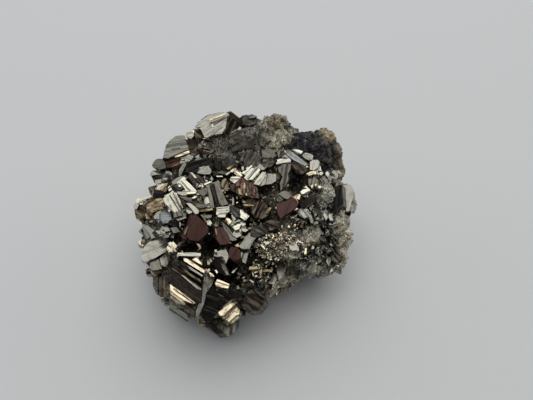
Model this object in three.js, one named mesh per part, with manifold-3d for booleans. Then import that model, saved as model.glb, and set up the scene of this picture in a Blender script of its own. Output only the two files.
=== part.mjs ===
// A hand-sized pyrite specimen: striated blocks of pyrite grown on a lump of fine-grained pyrite.
// The crystals and the lump grew together, so the whole stone is one solid that rests on a flat broken base.
import * as THREE from "three";
import { mergeVertices } from "three/addons/utils/BufferGeometryUtils.js";
import Module from "manifold-3d";

const wasm = await Module();
wasm.setup();

// Driving dimensions, in millimetres and degrees. The base is z = 0.
const MASSES = [
  { name: "left mass", middle: [-8, 0.5, 15], radii: [22.5, 28, 21] },
  { name: "right mass", middle: [9, 7.2, 20], radii: [22, 24, 20] },
];
const BASE_SHIFT = [-0.2, 0.2];
const LUMP_ROUGHNESS = 0.12;
const MASS_ROUGHNESS = 0.05;
const HIDDEN_LUMPS = { count: 50, smallest: 3.6, largest: 7.5, seed: 11 };
const SMALL_CRYSTALS = { count: 200, smallest: 2.6, largest: 6.2, inView: 0.62, seed: 29 };
const OPEN_SPACE = 0.62;

// Where the stone is seen from when it lies with its crystals towards the viewer.
// Places on the seen side are given across and up from its middle, square to this view.
const VIEW = { elevation: 48, distance: 155, middle: [0, 0, 20], aside: 6.7, above: 7 };

// The direction that the crystal-covered side faces, and how far round it the crystals reach.
const CRYSTAL_SIDE = { across: -0.72, up: 0.12, towards: 0.68, reach: 72 };

// Rounded masses of fine pyrite that stand out of the stone on the seen side: across, up, radius.
const LUMPS = [
  { name: "top knob", at: [9.9, 30.2], radius: 5.4 },
  { name: "top pimple", at: [1.5, 31.2], radius: 2.6 },
  { name: "top shoulder", at: [14.1, 27.8], radius: 4.2 },
  { name: "dull face", at: [-1.2, 22.6], radius: 6 },
  { name: "dull ridge", at: [3.6, 25], radius: 6 },
  { name: "dull ridge end", at: [7.5, 23.5], radius: 5 },
  { name: "dull saddle", at: [12, 25], radius: 5 },
  { name: "ledge lump", at: [12.9, 14.9], radius: 3.6 },
  { name: "black knob", at: [21, 22], radius: 8 },
  { name: "black knob crest", at: [24.9, 25.4], radius: 4.4 },
  { name: "black knob rim", at: [27, 22.4], radius: 4 },
  { name: "black knob foot", at: [27.6, 17.2], radius: 4.4 },
  { name: "black knob side", at: [25.8, 13.7], radius: 3.6 },
  { name: "right cheek", at: [24, 8.3], radius: 4.6 },
  { name: "side top", at: [21.6, 2.9], radius: 3.8 },
  { name: "right flank", at: [28.2, 0.5], radius: 4.6 },
  { name: "right haunch", at: [29.4, -5], radius: 4.8 },
  { name: "right heel", at: [28.2, -11], radius: 4.6 },
  { name: "right toe", at: [25.2, -12.8], radius: 4.2 },
  { name: "low middle", at: [19.2, -12.2], radius: 4.8 },
  { name: "low dimple edge", at: [15.6, -14.6], radius: 3.8 },
  { name: "low left", at: [10.5, -16], radius: 4.6 },
  { name: "low front", at: [7.2, -19.4], radius: 3.8 },
  { name: "bright patch", at: [5.4, -6.8], radius: 4.4 },
  { name: "bright middle", at: [9.6, -7], radius: 4.4 },
  { name: "bright slope", at: [14.1, -7.4], radius: 4.4 },
  { name: "side slope", at: [20.1, -2.6], radius: 4.6 },
  { name: "side saddle", at: [13.8, -0.8], radius: 4 },
  { name: "middle hump", at: [8.7, -0.8], radius: 3.6 },
];

// Hollows between the crystals: across, up, radius, how deep the bottom lies under the stone's skin.
const PITS = [
  { name: "right pit", at: [15.6, 11.6], radius: 4, deep: 4.5 },
  { name: "front pit", at: [-10.2, -6.4], radius: 3.4, deep: 4 },
  { name: "eye", at: [-16.2, -6.8], radius: 2.8, deep: 2.6 },
  { name: "low pit", at: [-5.5, -14.5], radius: 4.4, deep: 4.5 },
  { name: "left pit", at: [-21, -5], radius: 2.4, deep: 2.5 },
];

// The crystals that can be told apart. at is the middle of the striated face, across and up; size is along the
// striations, across them, and deep into the stone; face is how far that face looks right and up of the viewer,
// and how it is rolled, in degrees; proud is how far it stands out of the stone. edge and corner say how much the
// pyritohedral and octahedral faces cut off, and a block without them is a plain cube form.
const CRYSTALS = [
  { name: "peak", at: [-9, 29.6], size: [8, 7.5, 8], face: [-20, 24, 20], proud: 1.5, edge: 0.86, corner: 0.92 },
  { name: "peak back", at: [-3, 30.4], size: [6, 5.5, 6], face: [40, 10, -30], proud: 0.5 },
  { name: "pebble", at: [-16.2, 27], size: [3.4, 3.2, 4], face: [-20, 20, 0], proud: 1, edge: 0.75, corner: 0.8 },
  { name: "hood", at: [-20.4, 23.2], size: [8, 6.6, 7], face: [-18, 30, 8], proud: 1.5, edge: 0.8, corner: 0.9 },
  { name: "hood sill", at: [-20.1, 18.8], size: [7, 3.4, 5.5], face: [-6, -12, 12], proud: 3 },
  { name: "left knuckle", at: [-25.5, 17.9], size: [4.2, 3.2, 4], face: [-20, 14, 5], proud: 1.5 },
  { name: "left fin", at: [-26.1, 14.9], size: [4.2, 3.4, 4.6], face: [-30, 20, -22], proud: 1 },
  { name: "left fin root", at: [-23.4, 14.3], size: [4.4, 4, 4.6], face: [10, -16, -25], proud: 1.5 },
  { name: "left wedge", at: [-24.9, 12.5], size: [3.4, 2.4, 4], face: [-10, 30, 10], proud: 2 },
  { name: "cream wedge", at: [-24.2, 10.8], size: [3.4, 2.2, 4], face: [-6, 21, 34], proud: 2.6 },
  { name: "roof", at: [-16.2, 18.8], size: [6.2, 5, 6], face: [-4, 34, 16], proud: 3 },
  { name: "roof wall", at: [-16.2, 16], size: [8.5, 5, 6], face: [2, -10, 14], proud: 2.4 },
  { name: "roof chip", at: [-11.8, 16.1], size: [3.4, 2.2, 4], face: [8, 32, 8], proud: 4 },
  { name: "brown loaf", at: [-14.1, 23.3], size: [6.4, 5, 5], face: [8, 0, 12], proud: 3, edge: 0.85 },
  { name: "dark slab", at: [-9.6, 17], size: [5, 7, 6], face: [14, -6, 70], proud: 2.6 },
  { name: "grey slab", at: [-5.7, 18.2], size: [4.4, 5, 5], face: [4, -8, 10], proud: 3 },
  { name: "left comb", at: [-17.1, 11.4], size: [6.4, 3.2, 5], face: [-6, 22, -40], proud: 3.6 },
  { name: "left plank", at: [-21.3, 6.6], size: [6.2, 4.2, 6], face: [-8, 20, -66], proud: 4.2 },
  { name: "plank foot", at: [-19.8, 3.2], size: [4.4, 3.2, 5], face: [10, -14, -66], proud: 3 },
  { name: "mid sheaf", at: [-14.7, 7.4], size: [7.5, 4.6, 6], face: [4, 10, -8], proud: 3.6 },
  { name: "sheaf foot", at: [-13.2, 4.7], size: [5, 2.6, 5], face: [0, -10, -14], proud: 3.8 },
  { name: "mid tile", at: [-11.7, 11], size: [5, 3.4, 5], face: [6, 12, -20], proud: 2.8 },
  { name: "pillar", at: [-8, 8.9], size: [7, 3.9, 6], face: [12, 6, -72], proud: 4 },
  { name: "pillar foot", at: [-10.5, 6.2], size: [2.4, 2.4, 4], face: [8, 21, 5], proud: 4.4 },
  { name: "russet comb", at: [-0.6, 10.7], size: [5.2, 6, 6.5], face: [-4, -2, 64], proud: 4 },
  { name: "comb corner", at: [-2.7, 12.8], size: [2.4, 2.4, 4], face: [-4, 22, 20], proud: 4.2 },
  { name: "blade left", at: [2.1, 15.5], size: [5, 3, 5], face: [4, 21, 47], proud: 4.4 },
  { name: "blade right", at: [4.5, 13.1], size: [4, 2.4, 5], face: [6, 21, 52], proud: 4.4 },
  { name: "blade foot", at: [8.1, 13.4], size: [2.6, 3, 4], face: [14, 16, 80], proud: 3.4 },
  { name: "blade chip", at: [-2.4, 15.2], size: [3.4, 1.4, 3], face: [0, 22, -40], proud: 3.4 },
  { name: "white step", at: [-6.2, 3.5], size: [3.4, 2.6, 4], face: [2, 21, -4], proud: 4.6 },
  { name: "blue step", at: [-3.3, 4.1], size: [3.8, 2.2, 4], face: [10, 34, -42], proud: 4.4 },
  { name: "white heel", at: [-0.3, 2.6], size: [2.6, 1.8, 4], face: [4, 21, -40], proud: 4.6 },
  { name: "gold comb", at: [3.8, 5.6], size: [6, 6.4, 7], face: [6, -8, 58], proud: 3.8 },
  { name: "red gable", at: [12.5, 4.7], size: [4.8, 4.4, 6], face: [0, 0, 20], proud: 4.6 },
  { name: "gable cap", at: [12, 8.3], size: [3.4, 2.2, 4], face: [-6, 14, -34], proud: 4.2 },
  { name: "bead low", at: [15.9, 7.5], size: [2.2, 2.2, 3], face: [-8, 20, 30], proud: 3.4 },
  { name: "bead middle", at: [18.3, 9.8], size: [2.6, 2.2, 3], face: [4, 21, 40], proud: 3.4 },
  { name: "bead high", at: [20.9, 11.1], size: [2.6, 2.2, 3], face: [10, 20, 20], proud: 3.4 },
  { name: "ledge", at: [11.7, 18.6], size: [3.8, 1.8, 4], face: [0, 26, 16], proud: 4.4 },
  { name: "blue roof", at: [16.2, 20], size: [5, 2.6, 5], face: [4, 36, -34], proud: 4.4 },
  { name: "blue roof wall", at: [17.1, 17.6], size: [6, 3.4, 5], face: [-4, -10, -36], proud: 4 },
  { name: "ring", at: [18.9, 20.1], size: [3, 1.9, 3], face: [10, 24, -18], proud: 4 },
  { name: "cream block", at: [21.3, 17], size: [3, 3.4, 4], face: [0, 20, 8], proud: 4.4 },
  { name: "cream chip", at: [20.4, 14.9], size: [3.6, 1.4, 3], face: [0, 23, 10], proud: 4.4 },
  { name: "rim chip", at: [24.3, 13], size: [2.6, 3, 4], face: [10, 20, 40], proud: 3.6 },
  { name: "pale flat", at: [30.9, 8], size: [7.4, 3.4, 5.5], face: [30, 24, 84], proud: 2, edge: 0.9 },
  { name: "pale flat root", at: [30.3, 3.8], size: [4.4, 4.4, 5], face: [26, 0, 60], proud: 1, edge: 0.84 },
  { name: "left tip", at: [-28.2, 4.7], size: [8.5, 5.6, 8], face: [-14, -12, 16], proud: 2, corner: 0.95 },
  { name: "left tip roof", at: [-29.1, 7.4], size: [7.6, 2, 5], face: [-10, 30, 15], proud: 2 },
  { name: "left tip nose", at: [-31.8, 3.5], size: [4.4, 5, 6], face: [-48, -14, -10], proud: 0.5, edge: 0.86 },
  { name: "blue coin", at: [-24, 2], size: [4.6, 4, 5], face: [0, 34, 12], proud: 4, edge: 0.82 },
  { name: "left shard", at: [-28.7, -2.3], size: [5, 3.2, 5], face: [-30, 14, -52], proud: 1.2 },
  { name: "left chips", at: [-22.7, -2.3], size: [4.2, 2.2, 4], face: [0, 12, -14], proud: 3.4 },
  { name: "red block", at: [-14.1, -2.3], size: [5, 6, 6.5], face: [0, 2, 62], proud: 4.6 },
  { name: "red block band", at: [-17.1, -2.3], size: [5, 2, 5], face: [-24, 4, 62], proud: 3.6 },
  { name: "red wedge", at: [-6.6, -4], size: [4.2, 3.6, 5], face: [-2, 0, -62], proud: 4.2 },
  { name: "red coin", at: [-3, -9.2], size: [3.2, 3.2, 4], face: [0, 0, 70], proud: 4.4, edge: 0.8 },
  { name: "grey leaf", at: [1.2, -5.9], size: [6, 3.2, 5], face: [14, 30, 62], proud: 4.2, edge: 0.92 },
  { name: "grey stair", at: [-2.7, -1.4], size: [4.6, 3, 4.6], face: [12, 26, -52], proud: 3.6 },
  { name: "stair chip", at: [-4.5, 0.5], size: [2.2, 1.8, 3], face: [0, 20, 15], proud: 4 },
  { name: "stair chip two", at: [-0.9, -0.2], size: [2.4, 1.8, 3], face: [8, 21, 40], proud: 4 },
  { name: "left cushion", at: [-26.1, -7.7], size: [7.8, 6, 8.6], face: [-16, 38, 14], proud: 2.5, edge: 0.8 },
  { name: "cushion chip", at: [-21.6, -7.1], size: [2, 3, 3], face: [10, 20, -50], proud: 5 },
  { name: "big block", at: [-17.4, -18.8], size: [10.4, 11.4, 9], face: [-34, -8, -32], proud: 6 },
  { name: "big block lip", at: [-16.5, -9.5], size: [5.8, 1.3, 5], face: [0, 21, -3], proud: 5 },
  { name: "lip wedge", at: [-14.1, -11.5], size: [3, 1.5, 4], face: [0, 21, -40], proud: 5.5 },
  { name: "big block root", at: [-19.2, -26.5], size: [8, 4, 7], face: [-24, -24, -34], proud: 2 },
  { name: "left plinth", at: [-25.2, -19], size: [5.4, 3.2, 5.5], face: [-34, 6, 84], proud: 1, edge: 0.88 },
  { name: "black wall", at: [-6.6, -20.9], size: [5, 5, 6], face: [6, -8, -20], proud: 3.4 },
  { name: "wall sill", at: [-6.6, -18.2], size: [3.4, 1.9, 4], face: [2, 21, -24], proud: 5 },
  { name: "grey jag", at: [-6.9, -9.8], size: [3.8, 2.2, 4], face: [4, 21, -18], proud: 4 },
  { name: "dark streak", at: [-5.7, -13.4], size: [6, 2.2, 5], face: [22, 0, -58], proud: 3 },
  { name: "front step", at: [-4.8, -25.7], size: [5.4, 2.6, 6], face: [0, 21, 42], proud: 5 },
  { name: "front step two", at: [-3.3, -27.8], size: [4.6, 1.6, 5], face: [4, 21, 42], proud: 4.6 },
  { name: "front step foot", at: [-4.5, -30.5], size: [5.4, 4.6, 6], face: [4, -18, 20], proud: 2, edge: 0.84 },
  { name: "brown gable", at: [3, -23], size: [5.6, 5, 6.5], face: [-4, -6, -30], proud: 4, edge: 0.92 },
  { name: "foot pebble", at: [4.5, -24.8], size: [2.6, 2.6, 3], face: [10, -10, 0], proud: 3.4 },
  { name: "dark shelf", at: [-0.3, -17.3], size: [5, 4, 5], face: [4, -12, 12], proud: 2.4 },
  { name: "grey nub", at: [3.3, -13.4], size: [3, 2.2, 4], face: [0, 20, 10], proud: 3 },
  { name: "matrix facet", at: [14.7, -7.1], size: [2.2, 3, 4], face: [-4, 28, 12], proud: 5 },
  { name: "blue teeth", at: [18, 2.9], size: [4, 2.8, 4.4], face: [6, 30, -58], proud: 4.6 },
];

// A small repeatable random series, so that the hidden side comes out the same each time.
function seriesFrom(seed) {
  const MULTIPLIER = 16807;
  const MODULUS = 2147483647;
  let state = seed;
  return () => {
    state = (state * MULTIPLIER) % MODULUS;
    return state / MODULUS;
  };
}

const toRadians = (degrees) => (degrees * Math.PI) / 180;
const vector = (list) => new THREE.Vector3(...list);

// The viewer's own directions, and the point that they look from.
function viewer() {
  const tilt = toRadians(VIEW.elevation);
  const right = new THREE.Vector3(1, 0, 0);
  const up = new THREE.Vector3(0, Math.sin(tilt), Math.cos(tilt));
  const towards = new THREE.Vector3(0, -Math.cos(tilt), Math.sin(tilt));
  const eye = vector(VIEW.middle)
    .addScaledVector(towards, VIEW.distance)
    .addScaledVector(right, VIEW.aside)
    .addScaledVector(up, VIEW.above);
  return { right, up, towards, eye };
}
const seen = viewer();

// Where the line of sight through a place across and up from the middle meets the stone's masses, less what stands proud.
// A line that passes them by gives its nearest point, so a crystal on the outline still grows from the stone.
function onSight([across, up], proud) {
  const target = vector(VIEW.middle)
    .addScaledVector(seen.right, across)
    .addScaledVector(seen.up, up);
  const way = target.sub(seen.eye).normalize();
  const meetings = MASSES.map(({ middle, radii }) => {
    const from = seen.eye.clone().sub(vector(middle)).divide(vector(radii));
    const step = way.clone().divide(vector(radii));
    const a = step.dot(step);
    const b = from.dot(step);
    const gap = from.dot(from) - (b * b) / a;
    const along = gap < 1 ? (-b - Math.sqrt(a * (1 - gap))) / a : -b / a;
    return { along, gap: Math.max(gap, 1) };
  });
  const met = meetings.filter(({ gap }) => gap === 1);
  const best = met.length > 0 ? met : meetings.sort((one, two) => one.gap - two.gap).slice(0, 1);
  const along = Math.min(...best.map((meeting) => meeting.along));
  return seen.eye.clone().addScaledVector(way, along - proud);
}

// Where a direction from the stone's middle comes out of its masses.
function onStone(direction) {
  const from = vector(VIEW.middle);
  const reaches = MASSES.map(({ middle, radii }) => {
    const start = from.clone().sub(vector(middle)).divide(vector(radii));
    const step = direction.clone().divide(vector(radii));
    const a = step.dot(step);
    const b = start.dot(step);
    return (-b + Math.sqrt(Math.max(b * b - a * (start.dot(start) - 1), 0))) / a;
  });
  return from.addScaledVector(direction, Math.max(...reaches));
}

// Directions spread evenly over a ball, each moved a little.
function spreadDirections(count, random) {
  const GOLDEN_TURN = Math.PI * (3 - Math.sqrt(5));
  const WOBBLE = 0.35;
  return Array.from({ length: count }, (_, i) => {
    const height = 1 - (2 * (i + 0.5)) / count;
    const ring = Math.sqrt(1 - height * height);
    const turn = GOLDEN_TURN * i + (random() - 0.5) * WOBBLE;
    return new THREE.Vector3(ring * Math.cos(turn), ring * Math.sin(turn), height);
  });
}

// Degrees from the way that the crystal side faces.
function fromCrystalSide(direction) {
  const axis = seen.right
    .clone()
    .multiplyScalar(CRYSTAL_SIDE.across)
    .addScaledVector(seen.up, CRYSTAL_SIDE.up)
    .addScaledVector(seen.towards, CRYSTAL_SIDE.towards);
  return THREE.MathUtils.radToDeg(axis.angleTo(direction));
}

// Turns a closed three.js geometry into a solid that can be joined and cut.
function solidOf(geometry) {
  const bare = geometry.clone();
  bare.deleteAttribute("normal");
  bare.deleteAttribute("uv");
  const merged = mergeVertices(bare, 1e-4);
  const mesh = new wasm.Mesh({
    numProp: 3,
    vertProperties: new Float32Array(merged.attributes.position.array),
    triVerts: new Uint32Array(merged.index.array),
  });
  return new wasm.Manifold(mesh);
}

// A rough ball of fine pyrite: an icosahedron's faces divided, with each corner moved in or out.
function roughBall(radii, detail, roughness, random) {
  const ball = new THREE.IcosahedronGeometry(1, detail);
  ball.deleteAttribute("normal");
  ball.deleteAttribute("uv");
  const merged = mergeVertices(ball, 1e-4);
  const places = merged.attributes.position;
  for (let i = 0; i < places.count; i += 1) {
    const stretch = 1 + (random() - 0.5) * 2 * roughness;
    const corner = new THREE.Vector3().fromBufferAttribute(places, i).multiplyScalar(stretch);
    corner.multiply(vector(radii));
    places.setXYZ(i, corner.x, corner.y, corner.z);
  }
  return solidOf(merged);
}

// The twelve pyritohedral directions, and the eight octahedral ones.
const EDGE_WAYS = [-1, 1].flatMap((a) =>
  [-1, 1].flatMap((b) => [
    [2 * a, b, 0],
    [0, 2 * a, b],
    [b, 0, 2 * a],
  ]),
);
const CORNER_WAYS = [-1, 1].flatMap((a) => [-1, 1].flatMap((b) => [-1, 1].map((c) => [a, b, c])));

// A pyrite crystal: a block whose edges and corners are cut off by planes.
function crystalSolid(size, edge, corner) {
  let block = solidOf(new THREE.BoxGeometry(...size));
  const cutBy = (ways, share) => {
    if (share >= 1) return;
    for (const way of ways) {
      const normal = vector(way).normalize();
      const reach = size.reduce((sum, length, i) => sum + Math.abs(normal.getComponent(i)) * length * 0.5, 0);
      block = block.trimByPlane(normal.clone().negate().toArray(), -reach * share);
    }
  };
  cutBy(EDGE_WAYS, edge);
  cutBy(CORNER_WAYS, corner);
  return block;
}

function placed(solid, rotation, place) {
  const move = new THREE.Matrix4().makeRotationFromQuaternion(rotation).setPosition(place);
  return solid.transform(move.toArray());
}

// The turn that makes a face look so far right and up of the viewer, rolled in its own plane.
function facing([lookRight, lookUp, roll]) {
  const basis = new THREE.Matrix4().makeBasis(seen.right, seen.up, seen.towards);
  const turn = new THREE.Euler(toRadians(-lookUp), toRadians(lookRight), 0, "YXZ");
  return new THREE.Quaternion()
    .setFromRotationMatrix(basis)
    .multiply(new THREE.Quaternion().setFromEuler(turn))
    .multiply(new THREE.Quaternion().setFromAxisAngle(new THREE.Vector3(0, 0, 1), toRadians(roll)));
}

function masses() {
  const DETAIL = 3;
  const random = seriesFrom(HIDDEN_LUMPS.seed + 1);
  return MASSES.map(({ middle, radii }) => roughBall(radii, DETAIL, MASS_ROUGHNESS, random).translate(middle));
}

function seenLumps() {
  const DETAIL = 1;
  const random = seriesFrom(HIDDEN_LUMPS.seed + 2);
  return LUMPS.map(({ at, radius }) => {
    const place = onSight(at, 0);
    const inward = vector(VIEW.middle).sub(place).normalize();
    place.addScaledVector(inward, radius * 0.45);
    return roughBall([radius, radius, radius], DETAIL, LUMP_ROUGHNESS, random).translate(place.toArray());
  });
}

// Lumps on the sides that the view doesn't show.
function hiddenLumps() {
  const DETAIL = 1;
  const { count, smallest, largest, seed } = HIDDEN_LUMPS;
  const random = seriesFrom(seed);
  return spreadDirections(count, random).flatMap((direction) => {
    const radius = smallest + (largest - smallest) * random();
    const flatten = 0.75 + 0.3 * random();
    if (direction.dot(seen.towards) > 0.15 || fromCrystalSide(direction) < CRYSTAL_SIDE.reach - 12) return [];
    const place = onStone(direction).addScaledVector(direction, -0.4 * radius);
    const radii = [radius, radius * flatten, radius];
    return [roughBall(radii, DETAIL, LUMP_ROUGHNESS, random).translate(place.toArray())];
  });
}

function namedCrystals() {
  return CRYSTALS.map(({ at, size, face, proud, edge = 1, corner = 1 }) => {
    const turn = facing(face);
    const inward = new THREE.Vector3(0, 0, -1).applyQuaternion(turn);
    const middle = onSight(at, proud).addScaledVector(inward, size[2] / 2);
    return placed(crystalSolid(size, edge, corner), turn, middle);
  });
}

// Smaller crystals that fill the crystal side, and a few that dot the rest of the stone.
function smallCrystals() {
  const { count, smallest, largest, inView, seed } = SMALL_CRYSTALS;
  const random = seriesFrom(seed);
  const taken = CRYSTALS.map(({ at, size }) => ({ place: onSight(at, 0), size: Math.max(...size) }));
  return spreadDirections(count, random).flatMap((direction) => {
    const share = direction.dot(seen.towards) > -0.35 ? inView : 1;
    const size = share * (smallest + (largest - smallest) * random() ** 1.5);
    const shape = [size, size * (0.7 + 0.3 * random()), size * (0.8 + 0.3 * random())];
    const angles = [random(), random(), random()].map((share) => share * Math.PI);
    const edge = random() < 0.2 ? 0.86 : 1;
    const lone = random();
    const place = onStone(direction);
    const crowded = taken.some((other) => place.distanceTo(other.place) < other.size * OPEN_SPACE);
    const away = fromCrystalSide(direction);
    if (crowded || (away > CRYSTAL_SIDE.reach && lone > 0.14)) return [];
    const turn = new THREE.Quaternion().setFromEuler(new THREE.Euler(...angles));
    place.addScaledVector(direction, away > CRYSTAL_SIDE.reach ? size * 0.3 : size * 0.12);
    return [placed(crystalSolid(shape, edge, 1), turn, place)];
  });
}

// The broken base: everything below z = 0 is cut away flat.
function specimen() {
  const pits = PITS.map(({ at, radius, deep }) => {
    const place = onSight(at, radius - deep);
    return solidOf(new THREE.IcosahedronGeometry(radius, 1)).translate(place.toArray());
  });
  const stone = wasm.Manifold.union([...masses(), ...seenLumps(), ...hiddenLumps()]);
  const hollowed = stone.subtract(wasm.Manifold.union(pits));
  const grown = wasm.Manifold.union([hollowed, ...namedCrystals(), ...smallCrystals()]);
  return wholeStone(grown.trimByPlane([0, 0, 1], 0)).translate([...BASE_SHIFT, 0]);
}

// The one outer skin of the stone: gaps that are closed in on all sides are filled.
function wholeStone(solid) {
  return solid.decompose().reduce((best, piece) => (piece.volume() > best.volume() ? piece : best));
}

function geometryOf(solid) {
  const { numProp, numVert, vertProperties, triVerts } = solid.getMesh();
  const places = new Float32Array(numVert * 3);
  for (let i = 0; i < numVert; i += 1) {
    places.set(vertProperties.subarray(i * numProp, i * numProp + 3), i * 3);
  }
  const geometry = new THREE.BufferGeometry();
  geometry.setAttribute("position", new THREE.BufferAttribute(places, 3));
  geometry.setIndex(new THREE.BufferAttribute(new Uint32Array(triVerts), 1));
  const faceted = geometry.toNonIndexed();
  faceted.computeVertexNormals();
  return faceted;
}

const pyrite = new THREE.MeshStandardMaterial({ color: 0xb5ab8c, roughness: 0.3, metalness: 1, flatShading: true });
const stone = new THREE.Mesh(geometryOf(specimen()), pyrite);
stone.name = "pyrite_cluster";

const group = new THREE.Group();
group.add(stone);

export default group;
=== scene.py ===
import math
import random

import bmesh
import bpy
import numpy as np
from mathutils import Matrix, Vector, noise


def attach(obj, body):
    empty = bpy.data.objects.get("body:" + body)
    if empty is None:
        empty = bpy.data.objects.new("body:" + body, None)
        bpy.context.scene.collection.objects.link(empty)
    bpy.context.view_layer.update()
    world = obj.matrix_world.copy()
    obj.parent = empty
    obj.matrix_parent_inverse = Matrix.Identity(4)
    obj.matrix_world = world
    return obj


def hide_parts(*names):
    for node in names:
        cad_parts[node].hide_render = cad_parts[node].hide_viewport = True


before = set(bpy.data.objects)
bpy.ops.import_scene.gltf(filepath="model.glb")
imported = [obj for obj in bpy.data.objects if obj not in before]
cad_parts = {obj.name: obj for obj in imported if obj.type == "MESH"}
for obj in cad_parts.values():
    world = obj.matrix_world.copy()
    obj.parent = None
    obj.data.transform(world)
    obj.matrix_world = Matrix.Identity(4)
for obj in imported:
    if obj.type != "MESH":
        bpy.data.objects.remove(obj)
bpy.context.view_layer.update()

# The striated crystals.
# Pyrite crystals that grew into one another over the left and middle of the stone, with fine ridges across
# their faces and a red-brown, gold or blue skin on some. They are rooted in the mass under them.
MM = 0.001
STONE_SHIFT = np.array([-0.2, 0.2, 0.0])
MASSES = [
    {"middle": (-8, 0.5, 15), "radii": (22.5, 28, 21)},
    {"middle": (9, 7.2, 20), "radii": (22, 24, 20)},
]
VIEW = {"elevation": 48, "distance": 155, "middle": (0, 0, 20), "aside": 6.7, "above": 7}

tilt = math.radians(VIEW["elevation"])
view_right = np.array([1.0, 0, 0])
view_up = np.array([0, math.sin(tilt), math.cos(tilt)])
view_towards = np.array([0, -math.cos(tilt), math.sin(tilt)])
view_middle = np.array(VIEW["middle"], float)
view_eye = (
    view_middle + view_towards * VIEW["distance"] + view_right * VIEW["aside"] + view_up * VIEW["above"]
)


def on_sight(at, proud):
    """Where the line of sight through a place across and up from the middle meets the masses."""
    target = view_middle + view_right * at[0] + view_up * at[1]
    way = target - view_eye
    way /= np.linalg.norm(way)
    meetings = []
    for mass in MASSES:
        start = (view_eye - mass["middle"]) / np.array(mass["radii"])
        step = way / np.array(mass["radii"])
        a, b = step @ step, start @ step
        gap = start @ start - b * b / a
        along = (-b - math.sqrt(a * (1 - gap))) / a if gap < 1 else -b / a
        meetings.append((max(gap, 1), along))
    nearest = min(gap for gap, along in meetings)
    along = min(along for gap, along in meetings if gap == nearest)
    return view_eye + way * (along - proud)


def stone_piece(name, skin, finishes):
    """Makes a mesh in millimetres into a piece of the stone, in metres and in its place."""
    skin.transform(Matrix.Scale(MM, 4) @ Matrix.Translation(STONE_SHIFT))
    skin.name = name
    for finish in finishes:
        skin.materials.append(finish)
    piece = bpy.data.objects.new(name, skin)
    bpy.context.scene.collection.objects.link(piece)
    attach(piece, "root")
    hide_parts("pyrite_cluster")
    return piece


def facing(look_right, look_up, roll):
    """The turn that makes a face look so far right and up of the viewer, rolled in its own plane."""
    basis = Matrix((view_right, view_up, view_towards)).transposed()
    right = Matrix.Rotation(math.radians(look_right), 3, "Y")
    up = Matrix.Rotation(math.radians(-look_up), 3, "X")
    return np.array(basis @ right @ up @ Matrix.Rotation(math.radians(roll), 3, "Z"))


def new_heap():
    """An empty heap of closed forms: points, faces, the place of each face's corners on it, and skins."""
    return {"points": [], "faces": [], "corners": [], "skins": []}


def clipped(corners, normal, reach):
    """The part of a flat polygon on the inner side of a plane."""
    kept = []
    for i, corner in enumerate(corners):
        before = corners[i - 1]
        now, was = corner @ normal - reach, before @ normal - reach
        if (now <= 0) != (was <= 0):
            kept.append(before + (corner - before) * (was / (was - now)))
        if now <= 0:
            kept.append(corner)
    return kept


SQUARE = 40


def form_faces(planes):
    """The faces of the form inside a set of planes, each with its normal, ridge direction and corners."""
    faces = []
    for i, (normal, reach, ridges) in enumerate(planes):
        side = np.cross(normal, ridges)
        square = ((-SQUARE, -SQUARE), (SQUARE, -SQUARE), (SQUARE, SQUARE), (-SQUARE, SQUARE))
        corners = [normal * reach + ridges * a + side * b for a, b in square]
        for j, (other, limit, _) in enumerate(planes):
            if i != j and len(corners) > 2:
                corners = clipped(corners, other, limit)
        if len(corners) > 2:
            faces.append((normal, ridges, side, corners))
    return faces


EDGE_WAYS = [way for a in (-1, 1) for b in (-1, 1) for way in ((2 * a, b, 0), (0, 2 * a, b), (b, 0, 2 * a))]
CORNER_WAYS = [(a, b, c) for a in (-1, 1) for b in (-1, 1) for c in (-1, 1)]
LOST = {"most": 2, "edge": (0.68, 0.95), "corner": (0.62, 0.95)}


def block_planes(size, edge, corner, rng):
    """The planes round a block: its six sides, and the edges and corners that it has lost."""
    planes = []
    for axis in range(3):
        for side in (-1, 1):
            normal = np.eye(3)[axis] * side
            planes.append((normal, size[axis] / 2, np.eye(3)[(axis + 1) % 3]))
    cuts = []
    if edge < 1:
        cuts += [(way, edge) for way in EDGE_WAYS]
    if corner < 1:
        cuts += [(way, corner) for way in CORNER_WAYS]
    if edge >= 1 and corner >= 1:
        for ways, kept in ((EDGE_WAYS, LOST["edge"]), (CORNER_WAYS, LOST["corner"])):
            cuts += [(rng.choice(ways), rng.uniform(*kept)) for _ in range(rng.randint(0, LOST["most"]))]
    for way, share in cuts:
        normal = np.array(way, float) / np.linalg.norm(way)
        reach = (np.abs(normal) * size / 2).sum() * share
        ridges = np.eye(3)[way.index(0)] if 0 in way else np.cross(normal, (0, 0, 1))
        planes.append((normal, reach, ridges / np.linalg.norm(ridges)))
    return planes


def add_prism(heap, bottom, top, places, skin):
    """Adds a closed prism between two like polygons."""
    count = len(bottom)
    first = len(heap["points"])
    heap["points"].extend(bottom)
    heap["points"].extend(top)
    faces = [list(range(count - 1, -1, -1)), list(range(count, 2 * count))]
    faces += [[i, (i + 1) % count, count + (i + 1) % count, count + i] for i in range(count)]
    heap["faces"].extend([[first + i for i in face] for face in faces])
    heap["corners"].extend([places[i % count] for face in faces for i in face])
    heap["skins"].extend([skin] * len(faces))


def add_body(heap, faces, turn, middle, mark, skin):
    """Adds the plain closed form under the ridges."""
    found = {}
    for normal, ridges, side, corners in faces:
        face = []
        for corner in corners:
            key = tuple(np.round(corner, 4))
            if key not in found:
                found[key] = len(heap["points"])
                heap["points"].append(turn @ corner + middle)
            if found[key] not in face:
                face.append(found[key])
                heap["corners"].append((corner @ ridges, corner @ side, mark))
        if len(face) > 2:
            heap["faces"].append(face)
            heap["skins"].append(skin)
        else:
            del heap["corners"][len(heap["corners"]) - len(face):]


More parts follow.
